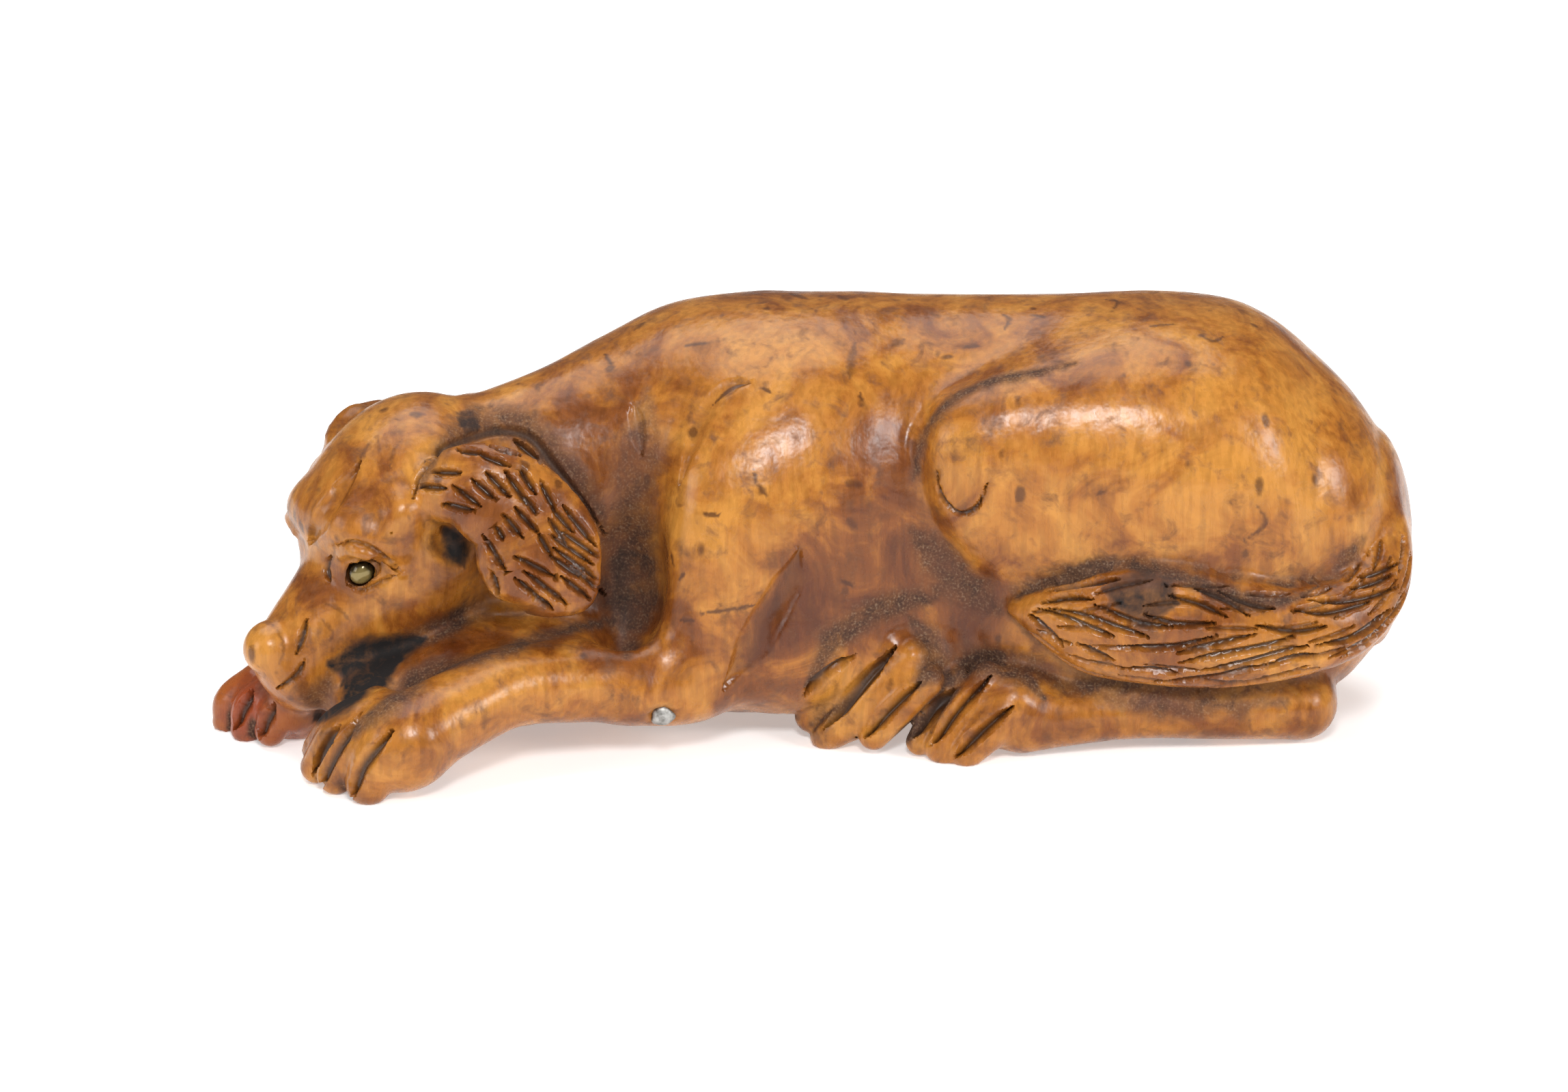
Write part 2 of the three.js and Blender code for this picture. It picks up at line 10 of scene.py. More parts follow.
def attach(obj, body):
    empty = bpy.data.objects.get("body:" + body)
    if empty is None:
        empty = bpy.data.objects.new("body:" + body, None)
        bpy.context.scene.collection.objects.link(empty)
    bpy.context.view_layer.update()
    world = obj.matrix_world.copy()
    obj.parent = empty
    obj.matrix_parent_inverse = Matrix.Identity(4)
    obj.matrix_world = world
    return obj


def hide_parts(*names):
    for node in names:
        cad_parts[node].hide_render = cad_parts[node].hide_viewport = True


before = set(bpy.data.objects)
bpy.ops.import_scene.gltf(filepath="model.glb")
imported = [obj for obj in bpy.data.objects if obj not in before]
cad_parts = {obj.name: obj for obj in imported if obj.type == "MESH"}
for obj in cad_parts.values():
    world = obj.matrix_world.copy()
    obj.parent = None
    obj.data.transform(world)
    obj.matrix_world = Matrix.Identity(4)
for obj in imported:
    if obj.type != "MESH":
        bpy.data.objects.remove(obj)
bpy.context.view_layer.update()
scene = bpy.context.scene

mm = 0.001
shift = np.array([0.17, -2.66, 0.0])  # from the carving's axes to the frame's, mm


# From the carving's millimetres to the frame's metres: moved by the shift, then scaled
def toFrame(points):
    return (np.asarray(points, float) + shift) * mm


# A new object of the scene
def linked(name, data):
    made = bpy.data.objects.new(name, data)
    scene.collection.objects.link(made)
    return made


# Camera at the photograph's angle
shot = {
    "target": np.array([-2.45, 0.0, 17.4]), "distance": 600.0, "elevation": 18.0,
    "pxPerMm": 16.74, "picture": (2296, 1599), "sensor": 36.0, "clip": (0.01, 10.0),
}
tilt = math.radians(shot["elevation"])
focal = shot["pxPerMm"] * shot["distance"]
lookAlong = np.array([0.0, math.cos(tilt), -math.sin(tilt)])
lookUp = np.array([0.0, math.sin(tilt), math.cos(tilt)])
eyePoint = shot["target"] - shot["distance"] * lookAlong

camera = linked("camera", bpy.data.cameras.new("camera"))
camera.location = toFrame(eyePoint)
camera.rotation_euler = (math.pi / 2 - tilt, 0, 0)
camera.data.sensor_width = shot["sensor"]
camera.data.lens = focal / shot["picture"][0] * shot["sensor"]
camera.data.clip_start, camera.data.clip_end = shot["clip"]
scene.camera = camera
print("camera set")


# Each row divided by its own length
def unit(vectors):
    return vectors / np.maximum(np.linalg.norm(vectors, axis=-1, keepdims=True), 1e-9)


# Smooth curve through rows of numbers: each span is a cubic whose slopes come from the rows on both sides
def smoothRows(rows, steps):
    rows = np.asarray(rows, float)
    spans = len(rows) - 1
    padded = np.vstack([2 * rows[0] - rows[1], rows, 2 * rows[-1] - rows[-2]])
    at = np.clip(np.linspace(0, spans, spans * steps + 1), 0, spans - 1e-9)
    i = at.astype(int)
    w = (at - i)[:, None]
    before, start, end, after = (padded[i + k] for k in range(4))
    slope0, slope1 = (end - before) / 2, (after - start) / 2
    return ((2 * w**3 - 3 * w**2 + 1) * start + (w**3 - 2 * w**2 + w) * slope0
            + (3 * w**2 - 2 * w**3) * end + (w**3 - w**2) * slope1)


# The nearest place on a line of points: the square of the way to it, its span and how far along that
def nearestOnLine(p, line):
    best, span, part = np.full(len(p), np.inf), np.zeros(len(p), int), np.zeros(len(p))
    for k, step in enumerate(np.diff(line, axis=0)):
        share = np.clip((p - line[k]) @ step / max(step @ step, 1e-9), 0, 1)
        away = ((p - line[k] - share[:, None] * step) ** 2).sum(1)
        closer = away < best
        best[closer], span[closer], part[closer] = away[closer], k, share[closer]
    return best, span, part


# A limb: an ellipse of changing half width and half height carried along a curve, with a dome on each end.
# Its depth is the way to its middle line, less the share of it that lies inside the ellipse.
class Limb:
    def __init__(self, rows, ref=(0, 0, 1), axis=None, power=2.0, lowPower=None, domes=None, blend=1.0,
                 floor=None, steps=6):
        line = smoothRows(rows, steps)
        self.centre, self.half, self.tall = line[:, :3], line[:, 3], line[:, 4]
        along = np.gradient(self.centre, axis=0) if axis is None else np.tile(axis, (len(line), 1))
        self.along = unit(along.astype(float))
        self.side = unit(np.cross(self.along, np.array(ref, float)))
        self.up = unit(np.cross(self.side, self.along))
        self.power, self.lowPower = power, lowPower or power
        ends = [(self.half[k] + self.tall[k]) / 2 for k in (0, -1)]
        self.domes = domes or ends
        self.blends = blend if isinstance(blend, tuple) else (blend, blend)
        self.axis, self.floor = axis, floor
        reach = max(self.half.max(), self.tall.max(), *self.domes)
        self.low, self.high = self.centre.min(0) - reach, self.centre.max(0) + reach

    # The span whose middle line is nearest, and how far along it
    def nearest(self, p):
        if self.axis is None:
            return nearestOnLine(p, self.centre)[1:]
        axis = np.array(self.axis, float)
        at = np.interp(p @ axis, self.centre @ axis, np.arange(len(self.centre)))
        span = np.minimum(at.astype(int), len(self.centre) - 2)
        return span, at - span

    def depth(self, p):
        span, part = self.nearest(p)

        # Between the two ends of each point's span
        def mixed(values):
            share = part if values.ndim == 1 else part[:, None]
            return values[span] * (1 - share) + values[span + 1] * share

        arm = p - mixed(self.centre)
        side, up, along = ((arm * mixed(v)).sum(1) for v in (self.side, self.up, self.along))
        power = np.where(up < 0, self.lowPower, self.power)
        wide, high = np.abs(side) / mixed(self.half), np.abs(up) / mixed(self.tall)
        share = (wide**power + high**power) ** (2 / power)
        first, last = (span == 0) & (part <= 0), (span == len(self.centre) - 2) & (part >= 1)
        for end, dome in zip((first, last), self.domes):
            share = share + np.where(end, (along / dome) ** 2, 0)
        value = np.linalg.norm(arm, axis=1) * (1 - 1 / np.sqrt(np.maximum(share, 1e-8)))
        if self.floor is not None:
            value = np.maximum(value, self.floor - p[:, 2])
        way = (span + part) / (len(self.centre) - 1)
        return value, self.blends[0] + (self.blends[1] - self.blends[0]) * way

    # Points of the skin at a share of the way and an angle: side by the cosine, up by the sine
    def skin(self, way, angle):
        k = np.clip(np.asarray(way) * (len(self.centre) - 1), 0, len(self.centre) - 1).astype(int)
        return (self.centre[k] + self.side[k] * (self.half[k] * np.cos(angle))[:, None]
                + self.up[k] * (self.tall[k] * np.sin(angle))[:, None])


# A ball: an ellipsoid in its own axes, its depth worked out as a limb's
class Ball:
    def __init__(self, centre, radii, axes=None, blend=1.0):
        self.centre, self.radii, self.blend = np.array(centre, float), np.array(radii, float), blend
        self.axes = np.eye(3) if axes is None else axes
        self.low, self.high = self.centre - self.radii.max(), self.centre + self.radii.max()

    def depth(self, p):
        arm = p - self.centre
        share = np.linalg.norm(arm @ self.axes.T / self.radii, axis=1)
        value = np.linalg.norm(arm, axis=1) * (1 - 1 / np.maximum(share, 1e-6))
        return value, np.full(len(p), self.blend)


# Head axes: turned to the near side and nodding down
headSet = {"centre": (-35.2, 1.0, 22.1), "yaw": 33.0, "pitch": 40.0}
yaw, pitch = math.radians(headSet["yaw"]), math.radians(headSet["pitch"])
ahead = np.array([-math.cos(yaw) * math.cos(pitch), -math.sin(yaw) * math.cos(pitch), -math.sin(pitch)])
leftward = np.array([math.sin(yaw), -math.cos(yaw), 0.0])
crown = np.cross(ahead, leftward)
headAxes = np.stack([ahead, leftward, crown])


# From head axes to the carving's: the head's centre plus each row turned; sizes pass through
def onHead(rows):
    rows = np.atleast_2d(np.array(rows, float))
    return np.hstack([np.array(headSet["centre"]) + rows[:, :3] @ headAxes, rows[:, 3:]])


# Torso and legs: rows of x, y, z, half width, half height
torso = {
    "trunk": dict(rows=[
        (-29.8, 3.9, 19.1, 7.4, 10.6), (-23.8, 5.8, 19.1, 8.2, 12.5), (-18.5, 8.0, 18.9, 10.4, 14.9),
        (-12.5, 9.4, 18.9, 12.8, 17.4), (-5.5, 8.9, 19.0, 15.2, 18.4), (-0.5, 8.7, 19.0, 15.8, 18.4),
        (4.5, 9.0, 19.0, 14.6, 18.4), (10.0, 9.6, 18.9, 13.2, 18.2), (21.1, 9.2, 18.9, 13.4, 18.3),
        (30.1, 9.2, 19.0, 15.0, 18.4), (36.4, 9.2, 18.8, 14.6, 18.0), (40.3, 9.2, 18.2, 13.6, 17.0),
        (44.0, 9.2, 17.1, 12.2, 15.1), (47.1, 9.0, 16.0, 10.2, 12.6), (49.8, 8.6, 15.3, 7.2, 8.9)],
        axis=(1, 0, 0), power=2.15, lowPower=3.2, domes=(3, 2.6), blend=2.0, floor=2.7, steps=16),
    "nearThigh": dict(rows=[
        (9.6, -1.4, 26.2, 2.6, 3.0), (11.0, -1.8, 25.7, 3.8, 5.5), (13.8, -1.8, 24.9, 4.9, 7.8),
        (17.3, -1.0, 24.1, 6.0, 9.8), (21.6, -0.1, 23.6, 7.0, 11.1), (29.9, 1.6, 23.4, 8.8, 12.0),
        (39.0, 2.9, 21.4, 9.2, 12.2), (43.9, 4.2, 18.8, 8.2, 10.0)],
        axis=(1, 0, 0), power=2.3, domes=(1.2, 7.0), blend=(0.9, 6.5), steps=16),
    "farThigh": dict(rows=[
        (12.0, 20.0, 9.4, 4.2, 8.6), (22.0, 20.2, 10.6, 5.0, 11.4), (34.0, 18.4, 11.6, 6.4, 12.2),
        (41.0, 15.5, 12.5, 6.8, 10.0)],
        axis=(1, 0, 0), domes=(4.6, 6.5), blend=(1.0, 4.0), steps=16),
    "farUpperArm": dict(rows=[(-7, 18.8, 25, 4.2, 4.6), (-6.5, 19.8, 16, 4.4, 5.6), (-8.5, 20.6, 4, 4, 4.8)],
                        ref=(1, 0, 0), blend=2.0),
    "farForearm": dict(rows=[
        (-9.0, 19.0, 4.2, 4.2, 4.2), (-22.0, 12.5, 4.0, 3.8, 3.8), (-34.0, 5.5, 3.8, 3.6, 3.6),
        (-43.5, 0.5, 3.8, 3.6, 3.4)], blend=1.5),
    "nearUpperArm": dict(rows=[
        (-6.6, 1.4, 28.5, 3.8, 3.2), (-7.0, -1.5, 24.0, 5.1, 5.4), (-7.1, -2.6, 19.0, 5.3, 6.1),
        (-8.9, -3.3, 13.0, 5.0, 4.7), (-11.0, -4.2, 7.6, 4.4, 3.8)],
        ref=(1, 0, 0), power=2.6, blend=(3.4, 0.7)),
    "nearForearm": dict(rows=[
        (-11.0, -4.5, 7.7, 4.3, 4.2), (-14.6, -5.9, 7.4, 4.0, 4.0), (-20.1, -8.0, 7.7, 3.7, 3.6),
        (-26.0, -10.4, 8.0, 3.6, 3.5), (-30.6, -13.2, 6.7, 3.7, 3.6),
        (-34.2, -15.6, 5.4, 4.1, 3.9)], blend=1.4),
    "chest": dict(rows=[
        (-12.0, 5.0, 8.4, 9.0, 6.8), (-22.0, 1.0, 7.2, 8.6, 5.4), (-31.0, -3.6, 6.8, 7.6, 5.0),
        (-37.5, -6.5, 5.6, 5.5, 3.6)], blend=2.0, floor=2.7),
    "elbowWeb": dict(rows=[(-8, 1.5, 6.4, 7, 3.7), (-13, -3.5, 6.2, 6, 3.5), (-16, -6, 6.4, 4.5, 2.8)],
                     blend=1.5, floor=2.7),
    "nearShank": dict(rows=[
        (43.1, -2.2, 3.3, 2.6, 2.6), (36.6, -3.6, 3.4, 2.4, 2.4), (27.5, -4.4, 3.7, 2.5, 2.5),
        (18.6, -5.4, 3.4, 2.9, 3.0)], blend=1.2),
    "nearLowerLeg": dict(rows=[(42.8, -0.6, 3.5, 3, 3.2), (30.6, -1.2, 6.4, 4, 5), (18.6, -1.2, 11.5, 4, 5)],
                         blend=2.0),
    "farShank": dict(rows=[(8.7, -2.4, 7.8, 3, 3.2), (15.7, 1.4, 8.1, 3.4, 3.6)], blend=1.4),
}
brisket = dict(centre=(-4.0, 1.0, 10.5), radii=(8.0, 8.2, 6.5), blend=2.5)
# Paws: a palm ball, then toes that bend down from x, y, z, radius to the tip
paws = {
    "nearFront": {"palm": (-35.5, -16.2, 4.5), "radii": (4.0, 3.7, 3.9), "toes": [
        [(-33.9, -17.0, 5.2, 2.7), (-36.9, -17.4, 3.9, 2.5), (-38.1, -17.3, 1.7, 2.0)],
        [(-35.5, -15.5, 6.5, 2.2), (-39.0, -15.6, 4.6, 2.0), (-41.0, -15.1, 1.6, 1.7)],
        [(-36.6, -13.7, 6.9, 1.9), (-40.4, -13.7, 5.0, 1.8), (-42.8, -12.8, 1.5, 1.45)],
        [(-37.5, -12.2, 6.9, 1.7), (-40.9, -12.1, 5.2, 1.5), (-43.0, -11.3, 2.6, 1.2)]]},
    "farFront": {"palm": (-45.7, 0.0, 2.9), "radii": (4.0, 3.8, 3.2), "toes": [
        [(-45.4, -2.6, 3.3, 2.2), (-46.8, -3.2, 2.7, 1.9), (-47.5, -3.4, 1.5, 1.4)],
        [(-47.3, -0.8, 4.0, 2.0), (-49.2, -1.0, 2.8, 1.8), (-49.8, -1.2, 0.9, 1.4)],
        [(-48.8, 1.6, 4.0, 2.0), (-51.1, 1.5, 2.5, 1.7), (-51.7, 1.4, 0.7, 1.3)]]},
    "nearHind": {"palm": (17.4, -4.7, 4.3), "radii": (4.3, 3.4, 3.6),
        "web": [(16.0, -5.0, 4.0, 3.0, 2.6), (13.6, -5.6, 2.2, 2.8, 2.0), (11.8, -6.0, 0.8, 2.3, 1.3)],
        "toes": [
            [(12.8, -4.2, 6.4, 1.3), (10.8, -5.2, 3.7, 1.3), (9.4, -5.8, 1.3, 1.2)],
            [(15.4, -5.2, 7.0, 1.5), (12.8, -6.3, 4.0, 1.5), (11.1, -7.0, 1.2, 1.3)],
            [(17.6, -6.3, 5.4, 2.0), (15.4, -7.2, 3.1, 1.9), (13.5, -7.6, 1.2, 1.6)]]},
    "farHind": {"palm": (7.0, -2.4, 6.2), "radii": (4.6, 3.0, 3.4),
        "web": [(8.0, -3.0, 5.9, 3.4, 2.6), (4.6, -2.5, 3.2, 3.3, 2.2), (1.8, -2.0, 1.0, 2.7, 1.5)],
        "toes": [
            [(5.0, -1.6, 9.0, 1.3), (1.6, -1.0, 6.6, 1.3), (-0.4, -0.6, 4.6, 1.1)],
            [(7.2, -3.2, 9.4, 1.7), (2.9, -2.3, 5.6, 1.7), (-0.1, -1.4, 2.1, 1.4)],
            [(8.8, -4.4, 8.6, 1.6), (5.0, -4.1, 4.9, 1.6), (1.9, -3.8, 1.5, 1.35)],
            [(10.0, -5.5, 6.8, 1.6), (7.4, -5.6, 4.2, 1.6), (5.4, -5.4, 1.8, 1.35)]]},
}
pawBlend = {"palm": 1.4, "web": 1.2, "toe": 0.5}
tailForm = dict(rows=[
    (49.2, 2.2, 20.7, 2.2, 2.2), (49.9, 0.2, 17.3, 2.4, 2.8), (48.8, -3.0, 14.5, 2.6, 3.2),
    (45.9, -5.6, 12.6, 2.7, 3.6), (41.5, -7.0, 11.9, 2.8, 4.1), (36.1, -7.6, 12.1, 2.9, 5.0),
    (30.2, -7.7, 12.7, 2.9, 5.5), (24.3, -7.2, 12.6, 2.6, 4.7), (20.3, -6.4, 13.3, 2.1, 2.7),
    (17.8, -5.6, 13.7, 1.2, 0.9)], ref=(-1, 0, 1), domes=(1.5, 0.8), blend=0.6, steps=8)
nearEarForm = dict(rows=[
    (-33.4, -6.0, 24.3, 2.4, 1.5), (-29.6, -7.4, 25.0, 4.0, 1.7), (-25.8, -8.0, 23.4, 4.7, 1.7),
    (-23.7, -8.8, 20.2, 5.5, 1.7), (-22.8, -9.2, 17.4, 5.1, 1.6), (-22.6, -9.2, 15.7, 4.3, 1.4),
    (-22.7, -9.1, 14.5, 2.6, 1.0)], ref=(0.1, -0.95, 0.3), domes=(1.3, 0.5), blend=0.5, steps=9)
# Head forms in head axes: ahead, to its left, up, then sizes
headForms = {
    "skull": dict(centre=(0, 0, 0), radii=(9.3, 8.2, 8.0), blend=2.2),
    "forehead": dict(centre=(3.8, 0, 2.4), radii=(5.6, 6.0, 4.9), blend=2.0),
    "nose": dict(centre=(18.4, 0, 0.0), radii=(2.5, 2.4, 2.4), blend=0.4),
    "cheek": dict(centre=(4.6, 3.4, -3.6), radii=(7.8, 4.7, 5.5), blend=1.6),
    "browEnd": dict(centre=(2.9, 6.3, 3.2), radii=(2.2, 1.9, 1.9), blend=1.2),
    "orbit": dict(centre=(6.8, 3.4, 0.6), radii=(3.4, 2.3, 3.0), blend=1.4),
}
muzzleForm = dict(rows=[
    (4, 0, -3, 6.8, 6.6), (9, 0, -3.2, 5.8, 6.0), (13, 0, -3.2, 4.7, 5.4), (17, 0, -3.2, 4.0, 4.8),
    (19, 0, -3.1, 3.4, 4.0)], ref=crown, domes=(4, 2.2), blend=2.2)
browForm = dict(rows=[
    (6.9, 1.8, 5.0, 1.5, 1.4), (6.7, 3.7, 4.7, 1.7, 1.5), (6.1, 5.3, 3.3, 1.7, 1.5),
    (5.3, 6.4, 1.5, 1.4, 1.2)], ref=crown, blend=2.2)
farEarForm = dict(rows=[
    (-1.0, -6.4, 5.2, 1.4, 2.6), (-1.2, -7.6, 3.0, 1.5, 4.2), (-1.8, -8.4, -1.0, 1.5, 5.4),
    (-2.2, -8.8, -5.5, 1.5, 5.8), (-1.8, -8.9, -9.5, 1.4, 5.0), (-1.2, -8.8, -12.0, 1.2, 3.4)],
    ref=ahead, domes=(1.2, 1.4), blend=0.6)
eyeSet = {"ahead": 8.5, "side": 4.4, "up": 1.1, "radii": (1.45, 1.15, 1.15), "room": 0.22, "blend": 0.25}
pinSet = {"x": -13.0, "z": 4.8, "radius": 0.8, "near": -8.7, "far": 20.6}


# A form of the head, on its left or, with sign -1, on its right
def headBall(name, sign=1):
    form = headForms[name]
    a, s, u = form["centre"]
    return Ball(onHead((a, sign * s, u))[0], form["radii"], headAxes, form["blend"])


# A limb of the head from rows in its axes, their sideways number turned round for the right
def headLimb(rows, sign=1, **more):
    return Limb(onHead(np.array(rows, float) * (1, sign, 1, 1, 1)), **more)


forms = [Limb(**form) for form in torso.values()] + [Ball(**brisket)]
for paw in paws.values():
    forms.append(Ball(paw["palm"], paw["radii"], blend=pawBlend["palm"]))
    if "web" in paw:
        forms.append(Limb(paw["web"], blend=pawBlend["web"]))
    forms += [Limb([(x, y, z, r, r) for x, y, z, r in toe], blend=pawBlend["toe"]) for toe in paw["toes"]]
tail, farEar, nearEar = Limb(**tailForm), headLimb(**farEarForm), Limb(**nearEarForm)
forms += [tail, headBall("skull"), headLimb(**muzzleForm), headBall("forehead"), headBall("nose")]
for sign in (1, -1):
    forms += [headLimb(sign=sign, **browForm), headBall("browEnd", sign), headBall("orbit", sign),
              headBall("cheek", sign)]
forms += [farEar, nearEar]


# Middle of the bead on the head's left or right
def eyeCentre(sign):
    return onHead((eyeSet["ahead"], sign * eyeSet["side"], eyeSet["up"]))[0]


# Places scooped out: behind the jaw, under the ear's fold, round the eyes and the pin's end
scoopForms = {
    "behindJaw": dict(centre=(-16.6, -4.6, 15.4), radii=(3.1, 4.0, 7.0), blend=2.4),
    "neckSide": dict(centre=(-15.6, -5.4, 23.5), radii=(2.4, 2.4, 6.0), blend=2.6),
    "underEarFold": dict(centre=(-31.2, -7.6, 20.0), radii=(1.7, 2.2, 1.9), blend=0.5),
    "pinEnd": dict(centre=(pinSet["x"], -9.4, pinSet["z"]), radii=(1.25, 0.9, 1.1), blend=0.3),
}
scoops = [Ball(**form) for form in scoopForms.values()]
eyeRoom = np.array(eyeSet["radii"]) + eyeSet["room"]
scoops += [Ball(eyeCentre(sign), eyeRoom, headAxes, eyeSet["blend"]) for sign in (1, -1)]


# Two surfaces joined with a fillet: the lower of two depths, lowered further where they are close
def fillet(a, b, width):
    near = np.maximum(width - np.abs(a - b), 0) / width
    return np.minimum(a, b) - near * near * width / 4


# Each form counts only within a reach of it, in mm
carveSet = {"open": 50.0, "formReach": 8.0, "scoopReach": 3.0}


# Depth in the carving, below 0 inside: the forms filleted together, then the scoops filleted out of them,
# and all of it cut level where it stands
def carving(p):
    value = np.full(len(p), carveSet["open"])
    for shapes, reach, sign in ((forms, carveSet["formReach"], 1), (scoops, carveSet["scoopReach"], -1)):
        for shape in shapes:
            close = np.all((p > shape.low - reach) & (p < shape.high + reach), axis=1)
            if close.any():
                depth, width = shape.depth(p[close])
                value[close] = sign * fillet(sign * value[close], depth, width)
    return np.maximum(value, -p[:, 2])


# Slope of that depth: its change over a short reach along each axis
def slope(p, value, reach=0.05):
    steps = [carving(p + reach * axis) - value for axis in np.eye(3)]
    return np.stack(steps, 1) / reach


# Skin of the carving as a net of quads: a point in each grid cell that the surface crosses,
# at the mean of its crossings, and a quad across each grid edge whose ends lie on different sides
def skinNet(low, high, step):
    shape = tuple(np.ceil((high - low) / step).astype(int) + 1)
    axes = [low[k] + step * np.arange(shape[k]) for k in range(3)]
    grid = np.stack(np.meshgrid(*axes, indexing="ij"), -1).reshape(-1, 3)
    value = carving(grid).reshape(shape)
    inside = value < 0
    corners = [(i, j, k) for i in (0, 1) for j in (0, 1) for k in (0, 1)]

    # The grid as seen from one corner of its cells
    def corner(values, c):
        return values[c[0]:shape[0] - 1 + c[0], c[1]:shape[1] - 1 + c[1], c[2]:shape[2] - 1 + c[2]]

    count = sum(corner(inside, c).astype(int) for c in corners)
    crossed = (count > 0) & (count < 8)
    ids = np.full(crossed.shape, -1)
    ids[crossed] = np.arange(crossed.sum())
    total, hits = np.zeros((crossed.sum(), 3)), np.zeros(crossed.sum())
    for a, ca in enumerate(corners):
        for cb in corners[a + 1:]:
            if sum(abs(p - q) for p, q in zip(ca, cb)) == 1:
                va, vb = corner(value, ca)[crossed], corner(value, cb)[crossed]
                hit = (va < 0) != (vb < 0)
                share = np.where(hit, va / np.where(hit, va - vb, 1), 0)
                total += (np.array(ca) + share[:, None] * (np.array(cb) - np.array(ca))) * hit[:, None]
                hits += hit
    verts = low + step * (np.argwhere(crossed) + total / hits[:, None])
    quads = []
    for axis, (e1, e2) in enumerate(((1, 2), (2, 0), (0, 1))):
        start = [slice(None)] * 3
        end = [slice(None)] * 3
        start[axis], end[axis] = slice(None, -1), slice(1, None)
        first, second = inside[tuple(start)], inside[tuple(end)]
        at = np.argwhere(first != second)
        flip = first[tuple(at.T)]
        ring = []
        for d1, d2 in ((-1, -1), (0, -1), (0, 0), (-1, 0)):
            cell = at.copy()
            cell[:, e1] += d1
            cell[:, e2] += d2
            ring.append(ids[tuple(cell.T)])
        ring = np.stack(ring, 1)
        ring[~flip] = ring[~flip][:, ::-1]
        quads.append(ring)
    return verts, np.vstack(quads)


# Each quad cut along its shorter diagonal
def cutQuads(verts, quads):
    a, b, c, d = quads.T
    firstWay = np.linalg.norm(verts[a] - verts[c], axis=1) < np.linalg.norm(verts[b] - verts[d], axis=1)
    one = np.where(firstWay[:, None], np.stack([a, b, c], 1), np.stack([a, b, d], 1))
    two = np.where(firstWay[:, None], np.stack([a, c, d], 1), np.stack([b, c, d], 1))
    return np.vstack([one, two])


# Halves the edges of the chosen triangles, and cuts their neighbours so that no gap opens
def refine(verts, tris, chosen):
    ends = np.sort(tris[:, [[0, 1], [1, 2], [2, 0]]], axis=2)
    keys = ends[..., 0] * len(verts) + ends[..., 1]
    unique, place = np.unique(keys, return_inverse=True)
    place = place.reshape(keys.shape)
    split = np.zeros(len(unique), bool)
    split[place[chosen].ravel()] = True
    middle = np.full(len(unique), -1)
    middle[split] = len(verts) + np.arange(split.sum())
    a, b = unique[split] // len(verts), unique[split] % len(verts)
    verts = np.vstack([verts, (verts[a] + verts[b]) / 2])
    mid = middle[place]
    cuts = (mid >= 0).sum(1)
    out = [tris[cuts == 0]]
    t, m = tris[cuts == 3], mid[cuts == 3]
    out += [np.stack(s, 1) for s in ((t[:, 0], m[:, 0], m[:, 2]), (m[:, 0], t[:, 1], m[:, 1]),
                                     (m[:, 2], m[:, 1], t[:, 2]), (m[:, 0], m[:, 1], m[:, 2]))]
    for k in range(3):
        t, m = np.roll(tris, -k, 1), np.roll(mid, -k, 1)
        one = (cuts == 1) & (m[:, 0] >= 0)
        out += [np.stack(s, 1)[one] for s in ((t[:, 0], m[:, 0], t[:, 2]), (m[:, 0], t[:, 1], t[:, 2]))]
        two = (cuts == 2) & (m[:, 2] < 0)
        out += [np.stack(s, 1)[two] for s in ((m[:, 0], t[:, 1], m[:, 1]), (t[:, 0], m[:, 0], m[:, 1]),
                                              (t[:, 0], m[:, 1], t[:, 2]))]
    return verts, np.vstack(out)


# Evens the points: each goes along the skin, part of the way to its neighbours' mean,
# then drops by its depth over the slope
def settle(verts, tris, rounds, even=0.5, leastSlope=0.3, longestDrop=0.5):
    i = np.concatenate([tris[:, 0], tris[:, 1], tris[:, 2]])
    j = np.concatenate([tris[:, 1], tris[:, 2], tris[:, 0]])
    number = np.maximum(np.bincount(i, minlength=len(verts)), 1)
    for _ in range(rounds):
        value = carving(verts)
        gradient = slope(verts, value)
        normal = unit(gradient)
        mean = np.stack([np.bincount(i, verts[j, k], len(verts)) for k in range(3)], 1) / number[:, None]
        move = (mean - verts) * even
        move -= normal * (move * normal).sum(1)[:, None]
        drop = value / np.maximum(np.linalg.norm(gradient, axis=1), leastSlope)
        verts = verts + move - normal * np.clip(drop, -longestDrop, longestDrop)[:, None]
    return verts


# Where rays first meet the carving: the way along each ray to its first step inside, less the overshoot
def firstOnSkin(starts, rays, ways):
    at = starts[:, None] + rays[:, None] * ways[None, :, None]
    value = carving(at.reshape(-1, 3)).reshape(at.shape[:2])
    hit = np.maximum(np.argmax(value < 0, axis=1), 1)
    rows = np.arange(len(starts))
    before, after = value[rows, hit - 1], value[rows, hit]
    way = ways[hit - 1] + (ways[1] - ways[0]) * before / np.maximum(before - after, 1e-9)
    return starts + rays * way[:, None]


# Rays in mm: how far they look before and behind the target, their step, and the far side's start and way
raySet = {"reach": 40.0, "step": 0.4, "farStart": 45.0, "farWay": 44.0}


# Points of the picture, carried along the camera's rays
def seenOnSkin(points):
    points = np.asarray(points, float)
    rays = (lookAlong + np.outer((points[:, 0] - shot["picture"][0] / 2) / focal, (1, 0, 0))
            - np.outer((points[:, 1] - shot["picture"][1] / 2) / focal, lookUp))
    ways = np.arange(shot["distance"] - raySet["reach"], shot["distance"] + raySet["reach"], raySet["step"])
    return firstOnSkin(np.tile(eyePoint, (len(points), 1)), rays, ways)


